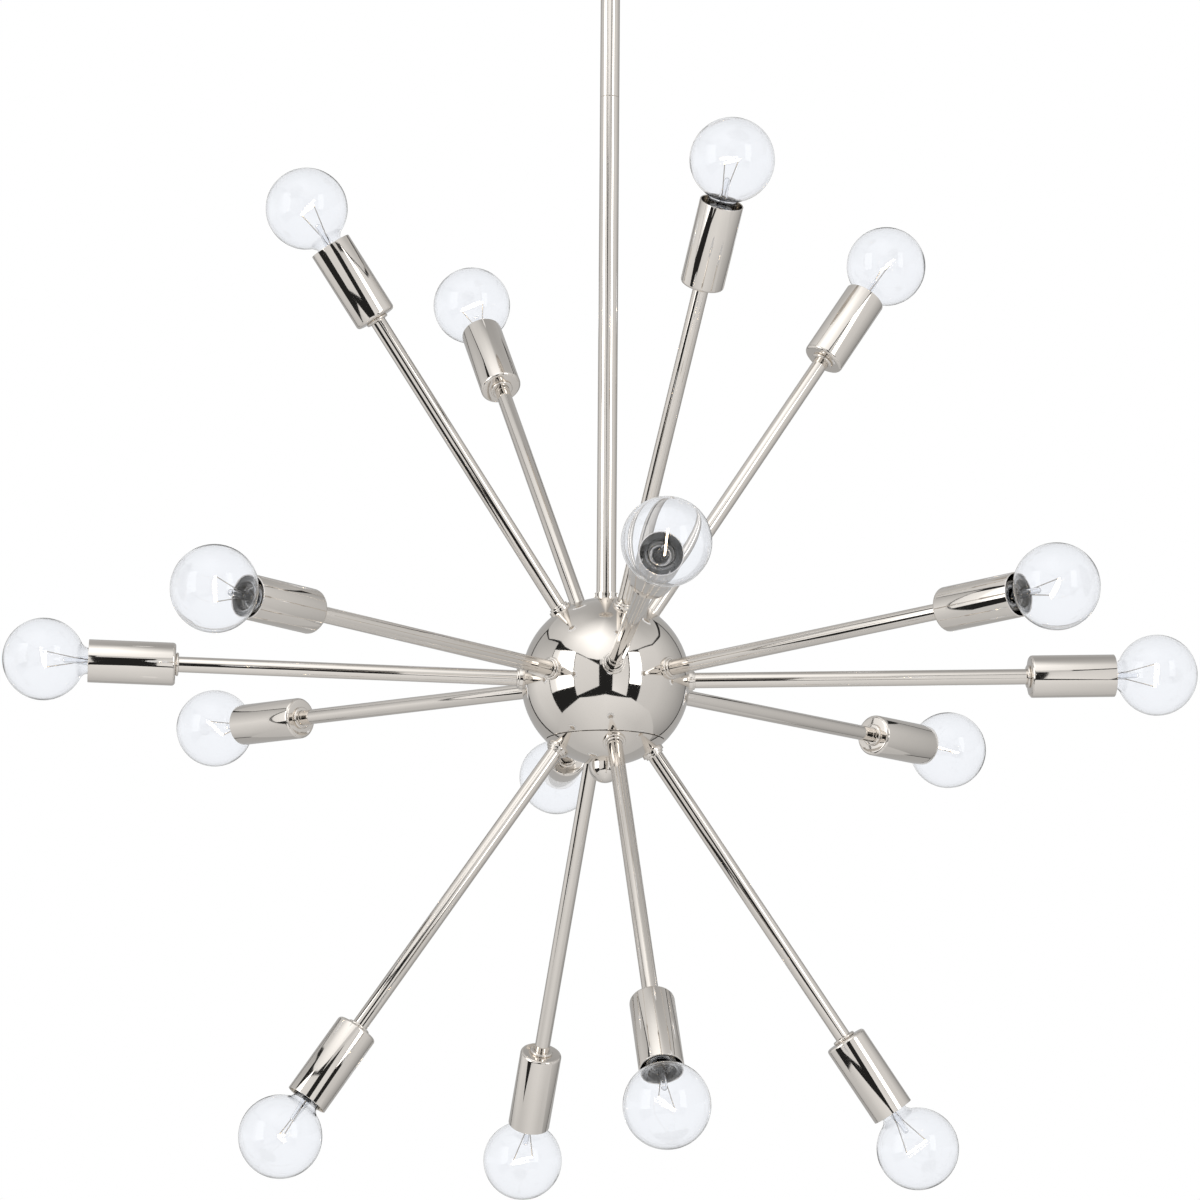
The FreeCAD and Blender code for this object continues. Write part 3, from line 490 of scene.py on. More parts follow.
def all_finishes():
    group = buffed_surface()
    return {
        "nickel": finish("polished_nickel", group, (0.81, 0.765, 0.715), (0.77, 0.73, 0.68), 1.0,
                         0.00002, Roughness=0.04, Haze=0.03),
        "cup_inside": finish("unbuffed_nickel", group, (0.78, 0.745, 0.70), (0.66, 0.63, 0.585), 1.0,
                             0.00004, Roughness=0.07, Haze=0.1, Haze_Scale=180.0),
        "shell": finish("plated_shell", group, (0.76, 0.72, 0.66), (0.62, 0.58, 0.52), 1.0,
                        0.00003, Roughness=0.14, Haze=0.12, Haze_Scale=150.0),
        "zinc": finish("zinc_plate", group, (0.64, 0.65, 0.64), (0.52, 0.53, 0.53), 1.0, 0.00005,
                       Roughness=0.28, Haze=0.15, Haze_Scale=140.0),
        "brass": finish("lamp_brass", group, (0.80, 0.62, 0.36), (0.68, 0.50, 0.27), 1.0, 0.00003,
                        Roughness=0.2, Haze=0.15, Haze_Scale=120.0),
        "phenolic": finish("moulded_phenolic", group, (0.36, 0.335, 0.3), (0.28, 0.26, 0.23),
                           0.0, 0.00005, Roughness=0.22, Haze=0.15, Haze_Scale=200.0),
        "sheath": finish("wire_sheath", group, (0.82, 0.81, 0.77), (0.74, 0.72, 0.67), 0.0,
                         0.00005, Roughness=0.42, Haze=0.1, Haze_Scale=150.0),
        "tape": finish("wound_tape", group, (0.03, 0.03, 0.032), (0.05, 0.05, 0.05), 0.0, 0.0003,
                       Roughness=0.45, Haze=0.25, Wave_Scale=160.0),
        "connector": finish("connector_shell", group, (0.58, 0.1, 0.05), (0.5, 0.08, 0.04), 0.0,
                            0.00005, Roughness=0.4, Haze=0.2, Haze_Scale=150.0),
        "lead": finish("lead_wire", group, (0.66, 0.62, 0.57), (0.45, 0.42, 0.39), 1.0, 0.00002,
                       Roughness=0.18, Haze=0.15, Haze_Scale=300.0),
        "glass": blown_glass(group),
        "filament": lit_tungsten(),
    }


# Studio -------------------------------------------------------------------------------------------

HUB_CENTRE = Vector((0, 0, HUB_Z * MM))


def from_hub(azimuth, elevation, distance):
    """A point at a direction from the hub. Azimuth 0 is towards the viewer, 90 to the right."""
    a, e = math.radians(azimuth), math.radians(elevation)
    return HUB_CENTRE + distance * Vector((math.sin(a) * math.cos(e), -math.cos(a) * math.cos(e),
                                           math.sin(e)))


def card(name, rows, distance, lit=False):
    """A studio surface seen only in reflections. rows hold (azimuth, elevation, level) points."""
    deselect_all()
    bpy.ops.mesh.primitive_grid_add(x_subdivisions=len(rows[0]) - 1, y_subdivisions=len(rows) - 1)
    piece = bpy.context.object
    piece.name = piece.data.name = name
    level = piece.data.attributes.new("level", "FLOAT", "POINT")
    points = [point for row in rows for point in row]
    for vertex, value, (azimuth, elevation, strength) in zip(piece.data.vertices, level.data, points):
        vertex.co = from_hub(azimuth, elevation, distance)
        value.value = strength
    finer = piece.modifiers.new("finer", "SUBSURF")
    finer.subdivision_type = "SIMPLE"
    finer.levels = finer.render_levels = 3
    bpy.ops.object.modifier_apply(modifier="finer")
    for vertex in piece.data.vertices:
        vertex.co = HUB_CENTRE + distance * (vertex.co - HUB_CENTRE).normalized()
    piece.data.materials.append(card_light())
    piece.visible_camera = False
    piece.visible_transmission = False
    piece.visible_shadow = False
    piece.visible_diffuse = lit
    return piece


def card_light():
    """Plain emission at the level written on the card's points."""
    material = bpy.data.materials.get("card_light")
    if material is None:
        material = bpy.data.materials.new("card_light")
        material.use_nodes = True
        tree = material.node_tree
        tree.nodes.clear()
        level = tree.nodes.new("ShaderNodeAttribute")
        level.attribute_name = "level"
        glow = tree.nodes.new("ShaderNodeEmission")
        out = tree.nodes.new("ShaderNodeOutputMaterial")
        tree.links.new(level.outputs["Fac"], glow.inputs["Strength"])
        tree.links.new(glow.outputs[0], out.inputs["Surface"])
    return material


def band(name, distance, points):
    """A card between two edges. points hold (azimuth, low, high, level at low, level at high)."""
    return card(name, [
        [(azimuth, low, level) for azimuth, low, _, level, _ in points],
        [(azimuth, high, level) for azimuth, _, high, _, level in points]], distance)


DARK = 0.02                     # level of the dark room
WORLD_LEVEL = 0.85              # light from the surround, where it isn't seen itself
# Distances of the studio's surfaces from the hub, in metres
ROOM_AT = 8.4
FRONT_PANELS_AT = 7.6
SIDE_PANELS_AT = 7.2
SOFTBOXES_AT = 6.9
FLAP_AT = 6.6
BOARDS_AT = 6.4
# Azimuth, elevation of the edge, level at -55 degrees, level at the edge
FLOOR_BOARD = ((-180, -40, 0.6, 0.56), (-135, -38, 0.6, 0.6), (-80, -37, 0.68, 0.68),
               (-40, -29, 0.8, 0.84), (0, -27.5, 0.84, 0.92), (40, -29, 0.76, 0.86),
               (80, -35, 0.66, 0.72), (135, -36, 0.6, 0.58), (180, -40, 0.6, 0.56))
# Azimuth, elevation of the edge, then the levels at the edge, at 50 and at 68 degrees
SCRIM = ((-180, 38, 0.52, 0.46, 0.42), (-136, 38, 0.6, 0.56, 0.52), (-110, 38, 0.68, 0.7, 0.62),
         (-81, 41, 0.76, 0.8, 0.7), (-66, 35.5, 0.85, 0.98, 0.78), (-48, 30.4, 0.95, 1.3, 0.95),
         (-25, 21.6, 1.05, 1.6, 1.1), (-12, 19, 1.1, 1.7, 1.2), (8, 21, 1.1, 1.3, 0.9),
         (22, 25, 0.98, 1.05, 0.7), (33, 30.6, 0.88, 0.9, 0.62), (50, 34, 0.8, 0.75, 0.56),
         (80, 38.4, 0.7, 0.6, 0.5), (110, 42.4, 0.58, 0.52, 0.45), (147, 44, 0.5, 0.44, 0.4),
         (180, 38, 0.52, 0.46, 0.42))


def studio():
    """White surround, grey panels, two softboxes, a ceiling scrim and the dark room behind them."""
    world = bpy.data.worlds.new("studio")
    bpy.context.scene.world = world
    world.use_nodes = True
    tree = world.node_tree
    back = tree.nodes["Background"]
    back.inputs["Color"].default_value = (1, 1, 1, 1)
    seen = tree.nodes.new("ShaderNodeLightPath")
    shown = [math_node(tree, "MAXIMUM") for _ in range(2)]
    level = tree.nodes.new("ShaderNodeMapRange")
    level.inputs["To Min"].default_value = WORLD_LEVEL
    link = tree.links.new
    link(seen.outputs["Is Camera Ray"], shown[0].inputs[0])
    link(seen.outputs["Is Glossy Ray"], shown[0].inputs[1])
    link(shown[0].outputs[0], shown[1].inputs[0])
    link(seen.outputs["Is Transmission Ray"], shown[1].inputs[1])
    link(shown[1].outputs[0], level.inputs["Value"])
    link(level.outputs["Result"], back.inputs["Strength"])

    band("dark_room", ROOM_AT, [(a, -62, 62, DARK, DARK) for a in range(-180, 181, 20)])
    band("panel_front_left", FRONT_PANELS_AT,
         [(-43.5, -26, 28, 0.78, 0.88), (-9, -16, 12, 0.8, 0.84)])
    band("panel_front_right", FRONT_PANELS_AT,
         [(9.5, -22, 13, 1.0, 0.76), (31.5, -27.6, 26, 0.85, 0.8)])
    band("softbox_left", SOFTBOXES_AT,
         [(-82, -14, 31, 0.95, 0.95), (-73, -14, 31, 1.1, 1.1),
          (-66, -14, 31, 2.2, 2.2), (-44.5, -13.5, 30, 2.6, 2.6)])
    band("softbox_right", SOFTBOXES_AT, [(33, -11, 30, 2.6, 2.6), (50, -11, 30, 2.6, 2.6)])
    card("side_panel_left", [
        [(-134, -62, 0.48), (-110, -62, 0.5), (-83, -62, 0.52)],
        [(-134, 0, 0.56), (-110, 0, 0.86), (-83, 0, 0.9)],
        [(-134, 36.5, 0.48), (-110, 37, 0.5), (-83, 38.5, 0.54)]], SIDE_PANELS_AT)
    card("side_panel_right", [
        [(50, -62, 0.7), (80, -62, 0.66), (110, -62, 0.52), (140, -62, 0.38)],
        [(50, 0, 0.76), (80, 0, 0.72), (110, 0, 0.53), (140, 0, 0.32)],
        [(50, 32.8, 0.84), (80, 37, 0.8), (110, 40.6, 0.6), (140, 41.5, 0.4)]], SIDE_PANELS_AT)
    card("back_wall", [[(a, el, 0.46) for a in (142.5, 160, 180, 200, 223)]
                       for el in (-62, -20, 20, 62)], SIDE_PANELS_AT)
    card("floor_board", [
        [(azimuth, -88, 0.75) for azimuth, *_ in FLOOR_BOARD],
        [(azimuth, -55, level) for azimuth, _, level, _ in FLOOR_BOARD],
        [(azimuth, edge, level) for azimuth, edge, _, level in FLOOR_BOARD]], BOARDS_AT)
    card("ceiling_scrim", [
        [(azimuth, edge, level) for azimuth, edge, level, *_ in SCRIM],
        [(azimuth, 50, level) for azimuth, _, _, level, _ in SCRIM],
        [(azimuth, 68, level) for azimuth, _, _, _, level in SCRIM],
        [(azimuth, 88, 0.42) for azimuth, *_ in SCRIM]], BOARDS_AT)
    band("scrim_flap", FLAP_AT, [(-8, 12.6, 21, 0.7, 0.7), (17, 12.6, 24, 0.7, 0.7)])

    deselect_all()
    bpy.ops.mesh.primitive_plane_add(size=FLOOR_SIZE, location=(0, 0, FLOOR_Z))
    floor = bpy.context.object
    floor.name = "floor"
    material, tree, shader = new_material("pale_floor")
    shader.inputs["Base Color"].default_value = (0.82, 0.82, 0.81, 1)
    shader.inputs["Roughness"].default_value = 0.7
    shader.inputs["Specular IOR Level"].default_value = 0.0
    clear = tree.nodes.new("ShaderNodeBsdfTransparent")
    under = tree.nodes.new("ShaderNodeNewGeometry")
    either = tree.nodes.new("ShaderNodeMixShader")
    tree.links.new(under.outputs["Backfacing"], either.inputs["Fac"])
    tree.links.new(shader.outputs["BSDF"], either.inputs[1])
    tree.links.new(clear.outputs["BSDF"], either.inputs[2])
    tree.links.new(either.outputs["Shader"], tree.nodes["Material Output"].inputs["Surface"])
    floor.data.materials.append(material)
    floor.visible_glossy = False


def camera():
    """A camera under the level of the hub, looking up at it."""
    rise = math.radians(CAMERA_RISE)
    back = Vector((0, -math.cos(rise), math.sin(rise)))
    turn = (Matrix.Rotation(math.radians(CAMERA_PAN), 3, Vector((1, 0, 0)).cross(-back))
            @ Matrix.Rotation(math.radians(CAMERA_PITCH), 3, Vector((1, 0, 0))))
    forward = turn @ -back
    right = turn @ Vector((1, 0, 0))
    up = right.cross(forward)
    roll = Matrix.Rotation(math.radians(CAMERA_ROLL), 3, forward)
    right, up = roll @ right, roll @ up
    data = bpy.data.cameras.new("camera")
    data.lens = CAMERA_LENS
    data.sensor_width = CAMERA_SENSOR
    place = bpy.data.objects.new("camera", data)
    bpy.context.scene.collection.objects.link(place)
    axes = Matrix((right, up, -forward)).transposed()
    place.matrix_world = Matrix.Translation(HUB_CENTRE + CAMERA_DISTANCE * back) @ axes.to_4x4()
    bpy.context.scene.camera = place


# The pieces ---------------------------------------------------------------------------------------

KEPT = {"mounting_strap": "zinc", "canopy_screws": "zinc", "canopy_leads": "sheath",
        "canopy_connectors": "connector", "swivel_stud": "zinc", "stud_nut": "zinc",
        "swivel_fork": "nickel", "swivel_pins": "nickel", "stem_coupling": "brass",
        "hub_centre_pipe": "zinc", "hub_splice": "tape", "lock_nuts": "zinc",
        "fixture_wires": "sheath", "socket_insulators": "phenolic",
        "socket_screw_shells": "shell", "socket_contacts": "brass"}

AT_HUB = Matrix.Translation(HUB_CENTRE)


def kept_nodes(nodes, finishes):
    """The CAD nodes whose shape is right get their finish."""
    for node, name in KEPT.items():
        nodes[node].data.materials.clear()
        nodes[node].data.materials.append(finishes[name])


def arm_places(joints):
    """Every arm's number and place, from the slides of its lamp."""
    places = []
    for joint in joints:
        if joint["type"] == "slide":
            number = joint["child"].split("_")[1]
            way = Vector(joint["axis"]).normalized()
            side = Vector((0, 0, 1)).cross(way).normalized()
            axes = Matrix((side, way.cross(side), way)).transposed()
            places.append((number, AT_HUB @ axes.to_4x4()))
    return places


def canopy(nickel):
    """A spun cup, open towards the ceiling, with its two screws capped by ball nuts."""
    outer = CANOPY_RADIUS
    inner = outer - CANOPY_WALL
    floor = -CANOPY_DEPTH + CANOPY_WALL
    bend = -CANOPY_DEPTH + CANOPY_CORNER
    corner = {"z": bend, "r": outer - CANOPY_CORNER}
    cup = turned("canopy_cup", [(THREAD_HOLE, -CANOPY_DEPTH)]
                 + arc(CANOPY_CORNER, -90, 0, 12, **corner) + [(outer, 0), (inner, 0)]
                 + arc(CANOPY_CORNER - CANOPY_WALL, 0, -90, 12, **corner)
                 + [(THREAD_HOLE, floor), (THREAD_HOLE, -CANOPY_DEPTH)], BALL_ROUND,
                 ((outer, 0, CANOPY_RIM_EDGE), (inner, 0, CANOPY_RIM_EDGE)))
    low, high = -CANOPY_DEPTH - BIT_PAST, floor + BIT_PAST
    bit = turned("bit", [(0, low), (CANOPY_SCREW_HOLE, low), (CANOPY_SCREW_HOLE, high), (0, high)],
                 24)
    seat = math.degrees(math.acos(BALL_NUT_SEAT / BALL_NUT_RADIUS))
    centre = -CANOPY_DEPTH - math.sqrt(BALL_NUT_RADIUS ** 2 - BALL_NUT_SEAT ** 2)
    ball_nut = turned("ball_nut", [(CANOPY_SCREW_HOLE, -CANOPY_DEPTH)]
                      + arc(BALL_NUT_RADIUS, seat, -90, 24, z=centre)
                      + [(0, centre - BALL_NUT_BORE),
                         (CANOPY_SCREW_HOLE, centre - BALL_NUT_BORE),
                         (CANOPY_SCREW_HOLE, -CANOPY_DEPTH)], FINE_ROUND)
    coat(ball_nut, nickel)
    for x, name in ((-BALL_NUT_SPREAD, "ball_nut_left"), (BALL_NUT_SPREAD, "ball_nut_right")):
        drill(cup, copy_to(bit, "bit_here", at(x)))
        nut = copy_to(ball_nut, name, at(x))
        mount(nut, "ceiling_mount", "nickel", "canopy_ball_nuts")
    bpy.data.objects.remove(bit)
    bpy.data.objects.remove(ball_nut)
    coat(smooth(cup), nickel)
    mount(cup, "ceiling_mount", "nickel", "canopy")


def knuckle(nickel):
    """The ball end that hangs in the fork, with the socket for the stem."""
    fit = STEM_RADIUS + STEM_SOCKET_FIT
    bore = math.degrees(math.acos(WIRE_BORE / TONGUE_RADIUS))
    neck = math.degrees(math.acos(TONGUE_NECK / TONGUE_RADIUS))
    piece = turned("swivel_knuckle", arc(TONGUE_RADIUS, bore, -neck, 24, z=PIVOT_Z)
                   + [(TONGUE_NECK, STEM_SOCKET_TOP), (STEM_SOCKET_RADIUS, STEM_SOCKET_TOP),
                      (STEM_SOCKET_RADIUS, STEM_SOCKET_BOTTOM), (fit, STEM_SOCKET_BOTTOM),
                      (fit, STEM_TOP), (WIRE_BORE, STEM_TOP)]
                   + arc(TONGUE_RADIUS, bore, bore, 1, z=PIVOT_Z)[:1], ROUND,
                   ((STEM_SOCKET_RADIUS, STEM_SOCKET_TOP, STEM_SOCKET_TOP_EDGE),
                    (STEM_SOCKET_RADIUS, STEM_SOCKET_BOTTOM, STEM_SOCKET_LOW_EDGE)))
    bit = turned("bit", [(0, -PIVOT_BIT_REACH), (PIVOT_BORE, -PIVOT_BIT_REACH),
                         (PIVOT_BORE, PIVOT_BIT_REACH), (0, PIVOT_BIT_REACH)], BIT_ROUND)
    bit.data.transform(at(z=PIVOT_Z) @ Matrix.Rotation(math.pi / 2, 4, "Y"))
    smooth(drill(piece, bit))
    coat(piece, nickel)
    mount(piece, "fixture", "nickel", "swivel_tongue")


def stem(nickel):
    """Two tubes whose broken edges show the joint as a fine line."""
    for name, node, low, high in (("stem_upper", "upper_stem", STEM_JOINT, STEM_TOP),
                                  ("stem_lower", "lower_stem", STEM_BOTTOM, STEM_JOINT)):
        tube = turned(name, [(STEM_BORE, low), (STEM_RADIUS - STEM_EDGE, low),
                             (STEM_RADIUS, low + STEM_EDGE), (STEM_RADIUS, high - STEM_EDGE),
                             (STEM_RADIUS - STEM_EDGE, high), (STEM_BORE, high),
                             (STEM_BORE, low)])
        coat(tube, nickel)
        mount(tube, "fixture", "nickel", node)


def stem_ring(nickel):
    """The knurled ring under the stem, between two plain rims."""
    top_rim = RING_TOP - RING_RIM
    low_rim = HUB_RADIUS + RING_RIM
    ring = turned("stem_ring", [(THREAD_HOLE, on_ball(THREAD_HOLE)),
                                (RING_INNER_RADIUS, on_ball(RING_INNER_RADIUS)),
                                (RING_INNER_RADIUS, low_rim), (RING_RADIUS, low_rim),
                                (RING_RADIUS, top_rim), (RING_INNER_RADIUS, top_rim),
                                (RING_INNER_RADIUS, RING_TOP), (THREAD_HOLE, RING_TOP),
                                (THREAD_HOLE, on_ball(THREAD_HOLE))], KNURL_STEPS * KNURLS)
    edit(ring, "DESELECT")
    mesh = bmesh.from_edit_mesh(ring.data)
    step = 2 * math.pi / (KNURL_STEPS * KNURLS)
    for vertex in mesh.verts:
        index = round(math.atan2(vertex.co.y, vertex.co.x) / step)
        outer = vertex.co.xy.length > (RING_RADIUS - 0.1) * MM
        vertex.select = outer and index % KNURL_STEPS in (2, 3)
    mesh.select_flush_mode()
    bmesh.update_edit_mesh(ring.data)
    scale = (RING_RADIUS - KNURL_DEPTH) / RING_RADIUS
    bpy.ops.transform.resize(value=(scale, scale, 1), center_override=(0, 0, 0))
    bpy.ops.object.mode_set(mode="OBJECT")
    smooth(ring, 20)
    ring.data.transform(AT_HUB)
    coat(ring, nickel)
    mount(ring, "fixture", "nickel", "hub_stem_collar")


def arm_bits(places):
    """One tool with a drill for every arm."""
    low, high = HUB_RADIUS - ARM_BIT_REACH, HUB_RADIUS + ARM_BIT_REACH
    bit = turned("bit", [(0, low), (ARM_HOLE, low), (ARM_HOLE, high), (0, high)], BIT_ROUND)
    bits = [copy_to(bit, "bit_" + number, place) for number, place in places]
    bpy.data.objects.remove(bit)
    return joined("arm_bits", bits)


def shade_as_ball(piece):
    """Give a drilled shell the normals of a true ball, so that reflections run past its holes."""
    normals = []
    for face in piece.data.polygons:
        face.use_smooth = True
        facing = face.normal.dot((face.center - HUB_CENTRE).normalized())
        for index in face.vertices:
            out = (piece.data.vertices[index].co - HUB_CENTRE).normalized()
            normals.append(out if facing > 0.98 else -out if facing < -0.98 else face.normal)
    piece.data.normals_split_custom_set(normals)


def ball(nickel, places):
    """The hub: a thin shell and its lower cap, drilled for the arms, with a fine seam between."""
    inner = HUB_RADIUS - HUB_WALL
    top = math.degrees(math.acos(THREAD_HOLE / HUB_RADIUS))
    inner_top = math.degrees(math.acos(THREAD_HOLE / inner))
    seam = math.degrees(math.asin(HUB_SEAM / HUB_RADIUS))
    inner_seam = math.degrees(math.asin(HUB_SEAM / inner))
    break_angle = math.degrees(HUB_SEAM_EDGE / HUB_RADIUS)
    seam_radius = HUB_RADIUS * math.cos(math.radians(seam)) - HUB_SEAM_EDGE
    upper = arc(HUB_RADIUS, top, break_angle - seam, 64) + [(seam_radius, -HUB_SEAM)]
    upper += arc(inner, -inner_seam, inner_top, 32) + upper[:1]
    rim = HUB_SEAM + HUB_SEAM_GAP
    rim_angle = math.degrees(math.asin(rim / HUB_RADIUS))
    rim_radius = HUB_RADIUS * math.cos(math.radians(rim_angle)) - HUB_SEAM_EDGE
    cap = arc(HUB_RADIUS, -top, -rim_angle - break_angle, 20) + [(rim_radius, -rim)]
    cap += arc(inner, -math.degrees(math.asin(rim / inner)), -inner_top, 12) + cap[:1]
    bits = arm_bits(places)
    for name, node, profile in (("ball_upper", "hub_shell", upper),
                                ("ball_cap", "hub_lower_cap", cap)):
        piece = turned(name, profile, BALL_ROUND)
        piece.data.transform(AT_HUB)
        drill(piece, copy_to(bits, "bits_here", Matrix.Identity(4)))
        shade_as_ball(piece)
        coat(piece, nickel)
        mount(piece, "fixture", "nickel", node)
    bpy.data.objects.remove(bits)


def finial(nickel):
    centre = -HUB_RADIUS - FINIAL_DROP
    bore_end = -HUB_RADIUS - FINIAL_BORE
    piece = turned("round_finial", [(THREAD_HOLE, -on_ball(THREAD_HOLE)),
                                    (FINIAL_RADIUS, -on_ball(FINIAL_RADIUS))]
                   + arc(FINIAL_RADIUS, 0, -90, 20, z=centre)
                   + [(0, bore_end), (THREAD_HOLE, bore_end),
                      (THREAD_HOLE, -on_ball(THREAD_HOLE))])
    piece.data.transform(AT_HUB)
    coat(piece, nickel)
    mount(piece, "fixture", "nickel", "finial")


def arm_tube():
    return turned("arm_tube", [(ARM_BORE, ARM_START), (ARM_RADIUS, ARM_START),
                               (ARM_RADIUS, ARM_END), (ARM_BORE, ARM_END), (ARM_BORE, ARM_START)],
                  ROUND, ((ARM_RADIUS, ARM_START, ARM_EDGE), (ARM_RADIUS, ARM_END, ARM_EDGE)))


def hub_collar():
    """The stepped collar that seats an arm on the ball."""
    return turned("hub_collar", [(ARM_HOLE, on_ball(ARM_HOLE)),
                                 (FLANGE_RADIUS, on_ball(FLANGE_RADIUS)),
                                 (FLANGE_RADIUS, FLANGE_TOP), (STEP_RADIUS, FLANGE_TOP),
                                 (STEP_RADIUS, STEP_TOP), (ARM_HOLE, STEP_TOP),
                                 (ARM_HOLE, on_ball(ARM_HOLE))], ROUND,
                  ((FLANGE_RADIUS, FLANGE_TOP, COLLAR_EDGE), (STEP_RADIUS, STEP_TOP, COLLAR_EDGE)))


def neck_ring():
    low = CUP_BACK - NECK_RING_THICKNESS
    edge = NECK_RING_THICKNESS / 2 - NECK_RING_FLAT
    return turned("neck_ring", [(ARM_HOLE, low), (NECK_RING_RADIUS, low),
                                (NECK_RING_RADIUS, CUP_BACK), (ARM_HOLE, CUP_BACK),
                                (ARM_HOLE, low)], ROUND,
                  ((NECK_RING_RADIUS, low, edge), (NECK_RING_RADIUS, CUP_BACK, edge)))


def socket_cup(outside, inside):
    """A drawn cup, buffed outside and left as plated inside."""
    bore = CUP_RADIUS - CUP_WALL
    floor = CUP_BACK + CUP_WALL
    piece = turned("socket_cup", [(ARM_HOLE, CUP_BACK), (CUP_RADIUS, CUP_BACK),
                                  (CUP_RADIUS, CUP_MOUTH), (bore, CUP_MOUTH), (bore, floor),
                                  (ARM_HOLE, floor), (ARM_HOLE, CUP_BACK)], CUP_ROUND,
                   ((CUP_RADIUS, CUP_BACK, CUP_EDGE), (bore, floor, CUP_EDGE - CUP_WALL),
                    (CUP_RADIUS, CUP_MOUTH, CUP_LIP_EDGE), (bore, CUP_MOUTH, CUP_LIP_EDGE)))
    coat(piece, outside, inside)
    for face in piece.data.polygons:
        within = face.center.xy.length < (bore + 0.02) * MM
        if within and floor - 0.1 < face.center.z / MM < CUP_MOUTH - CUP_LIP_EDGE:
            face.material_index = 1
    return piece


def glass_wall(offset):
    """The profile of the bulb's glass, from the crown down to the tail, drawn in by an offset."""
    globe = GLOBE_RADIUS - offset
    shoulder = SHOULDER_RADIUS - offset
    neck = NECK_RADIUS - offset
    points = arc(globe, 90, -math.degrees(math.acos(shoulder / globe)), 44, z=GLOBE_Z)
    shoulder_z = points[-1][1]
    for part in (0.2, 0.4, 0.6, 0.8, 1.0):                  # the curve from the globe to the neck
        bow = part + SHOULDER_BOW * part * (1 - part)
        lag = part - SHOULDER_LAG * part * (1 - part)
        points.append((shoulder + (neck - shoulder) * bow,
                       shoulder_z + (NECK_Z - shoulder_z) * lag))
    tail_z = BASE_TOP + BASE_RIM_GAP + offset
    foot = NECK_FOOT_RADIUS - offset
    points += arc(NECK_FOOT_ROUNDING, 0, -60, 4, z=tail_z + NECK_FOOT_ROUNDING,
                  r=foot - NECK_FOOT_ROUNDING)
    return points + [(TAIL_RADIUS - offset, tail_z), (TAIL_RADIUS - offset, TAIL_END)]


def bulb_glass():
    return turned("bulb_glass", glass_wall(0) + glass_wall(GLASS_WALL)[::-1], ROUND, angle=50)


def bulb_base():
    """The screw base: a thin can with its rolled thread wound round it."""
    can = turned("can", [(BASE_ROOT, BASE_BOTTOM), (BASE_ROOT, BASE_RIM - BASE_STEP),
                         (BASE_CREST, BASE_RIM), (BASE_CREST, BASE_TOP),
                         (BASE_CREST - BASE_WALL, BASE_TOP), (BASE_CREST - BASE_WALL, BASE_RIM),
                         (BASE_ROOT - BASE_WALL, BASE_RIM - BASE_STEP),
                         (BASE_ROOT - BASE_WALL, BASE_BOTTOM), (BASE_ROOT, BASE_BOTTOM)],
                 FINE_ROUND)
    thread = wound("thread", BASE_CREST, THREAD_BEAD, THREAD_SHARE * THREAD_PITCH,
                   BASE_BOTTOM + THREAD_START, THREAD_PITCH, THREAD_TURNS, FINE_ROUND, 12)
    return joined("bulb_base", [can, thread])


def bulb_insulator():
    outer = BASE_ROOT - BASE_WALL - BASE_FIT
    low = BASE_TIP + TIP_HEIGHT
    high = BASE_BOTTOM + BASE_INSULATOR_RISE
    hole = TIP_RADIUS + TIP_CLEARANCE
    return turned("bulb_insulator", [(0, low), (hole, low), (outer, BASE_BOTTOM), (outer, high),
                                     (0, high)], FINE_ROUND, ((hole, low, TIP_HOLE_EDGE),))


def bulb_tip():
    top = BASE_TIP + TIP_HEIGHT
    return turned("bulb_tip", [(0, BASE_TIP), (TIP_RADIUS, BASE_TIP), (TIP_RADIUS, top), (0, top)],
                  BIT_ROUND, ((TIP_RADIUS, BASE_TIP, TIP_EDGE),))


def bulb_mount():
    """The glass foot that holds the leads: a flare that narrows to a thin closed tube."""
    low = TAIL_END + MOUNT_FIT
    outside = [(MOUNT_FLARE, low), (MOUNT_FLARE, low + 1), (MOUNT_FOOT + 0.4, low + 3),
               (MOUNT_FOOT, low + 6), (MOUNT_FOOT - 0.1, MOUNT_PRESS_Z),
               (MOUNT_FOOT - 0.5, MOUNT_PRESS_Z + 3), (MOUNT_END + 0.2, MOUNT_PRESS_Z + 7),
               (MOUNT_END, MOUNT_PRESS_Z + 10)]
    inside = [(r - MOUNT_WALL, z) for r, z in outside]
    centre = MOUNT_TOP - MOUNT_END
    return turned("bulb_mount", outside + arc(MOUNT_END, 0, 90, 8, z=centre)
                  + arc(MOUNT_END - MOUNT_WALL, 90, 0, 6, z=centre) + inside[::-1] + outside[:1],
                  40, angle=50)


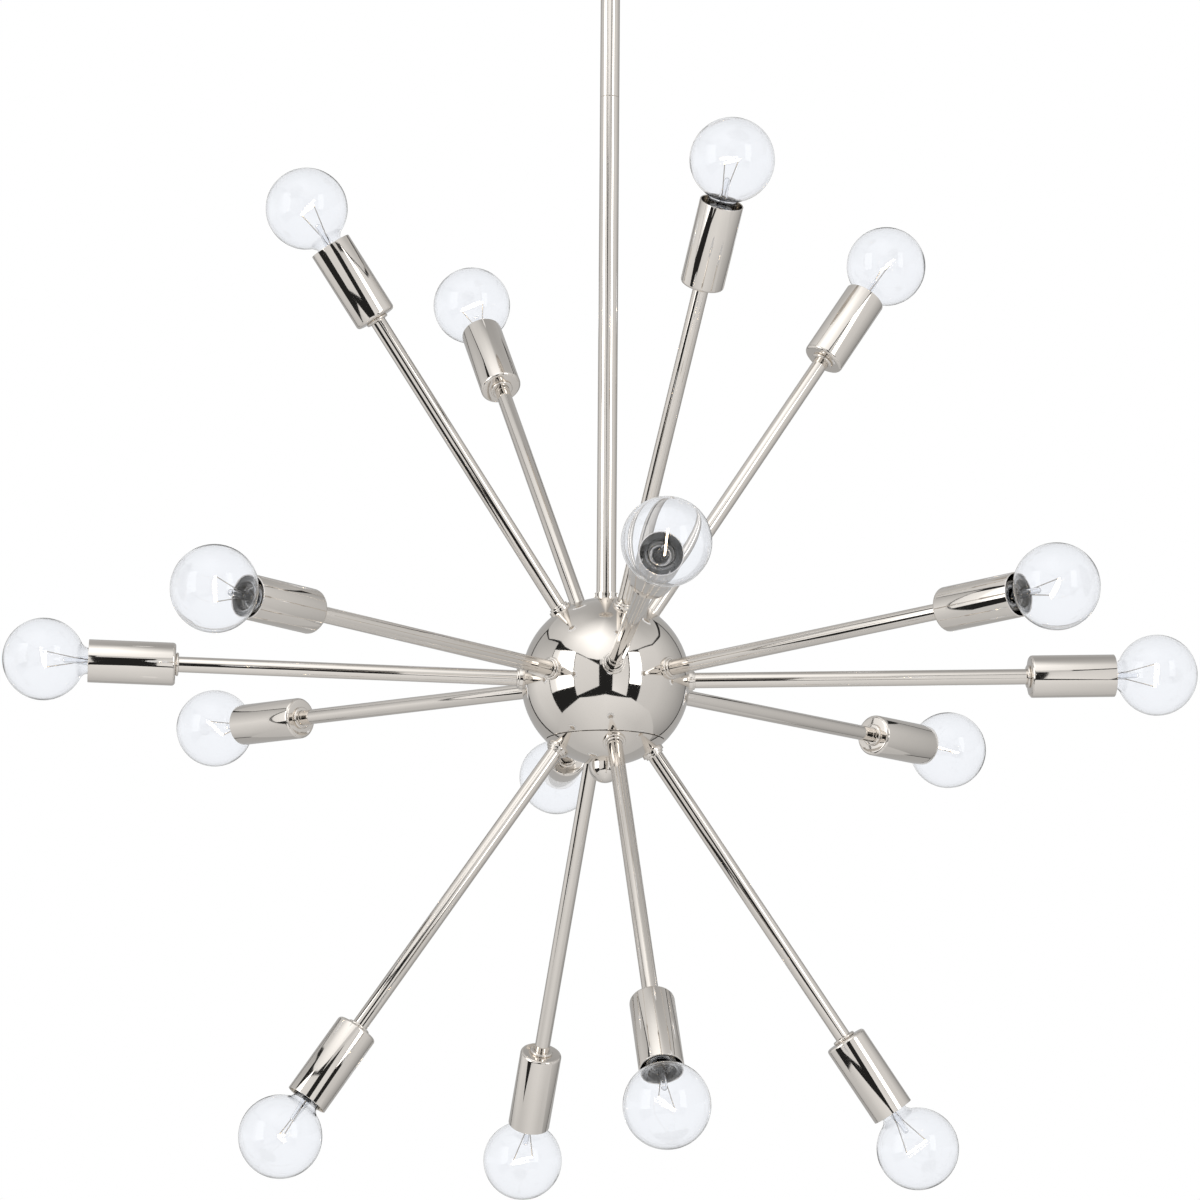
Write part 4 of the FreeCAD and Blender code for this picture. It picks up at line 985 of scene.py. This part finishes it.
def bulb_leads():
    """Two wires that come out of the press and spread to the ends of the filament."""
    end = FILAMENT_LENGTH / 2 - LEAD_RADIUS
    one = wire("lead", [(LEAD_FOOT, MOUNT_PRESS_Z - 2), (LEAD_EXIT, MOUNT_PRESS_Z + 1),
                        (LEAD_BEND, LEAD_BEND_Z), (end, FILAMENT_Z - LEAD_DROP)], LEAD_RADIUS)
    other = copy_to(one, "other_lead", Matrix.Rotation(math.pi, 4, "Z"))
    return joined("bulb_leads", [one, other])


def bulb_filament():
    piece = wound("bulb_filament", FILAMENT_RADIUS, FILAMENT_WIRE, FILAMENT_WIRE,
                  -FILAMENT_LENGTH / 2, FILAMENT_LENGTH / FILAMENT_TURNS, FILAMENT_TURNS, 12, 6)
    piece.data.transform(at(z=FILAMENT_Z) @ Matrix.Rotation(math.pi / 2, 4, "Y"))
    return piece


def arms(finishes, places):
    nickel = finishes["nickel"]
    parts = ((coat(arm_tube(), nickel), "arm_tube_%s"),
             (coat(hub_collar(), nickel), "arm_hub_collars"),
             (coat(neck_ring(), nickel), "cup_neck_rings"),
             (socket_cup(nickel, finishes["cup_inside"]), "socket_cups"))
    for piece, node in parts:
        for number, place in places:
            copy = copy_to(piece, "%s_%s_shape" % (piece.name, number), place)
            mount(copy, "fixture", "nickel", node % number if "%" in node else node)
        bpy.data.objects.remove(piece)


def bulbs(finishes, places):
    parts = ((bulb_glass(), "glass", "bulb_glass"), (bulb_base(), "nickel", "nickel"),
             (bulb_insulator(), "phenolic", "phenolic"), (bulb_tip(), "zinc", "zinc_steel"),
             (bulb_mount(), "glass", "bulb_glass"), (bulb_leads(), "lead", "nickel"),
             (bulb_filament(), "filament", "nickel"))
    for piece, name, slot in parts:
        coat(piece, finishes[name])
        for number, place in places:
            turn = Matrix.Rotation(math.radians(TWIST[number]), 4, "Z")
            copy = copy_to(piece, "%s_%s_part" % (piece.name, number), place @ turn)
            mount(copy, "lamp_" + number, slot, "bulb_" + number)
        bpy.data.objects.remove(piece)


def build():
    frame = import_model()
    camera()
    studio()
    finishes = all_finishes()
    nickel = finishes["nickel"]
    places = arm_places(frame["joints"])
    kept_nodes(frame["nodes"], finishes)
    canopy(nickel)
    knuckle(nickel)
    stem(nickel)
    stem_ring(nickel)
    ball(nickel, places)
    finial(nickel)
    arms(finishes, places)
    bulbs(finishes, places)


bpy.context.scene.view_settings.view_transform = "Standard"
build()
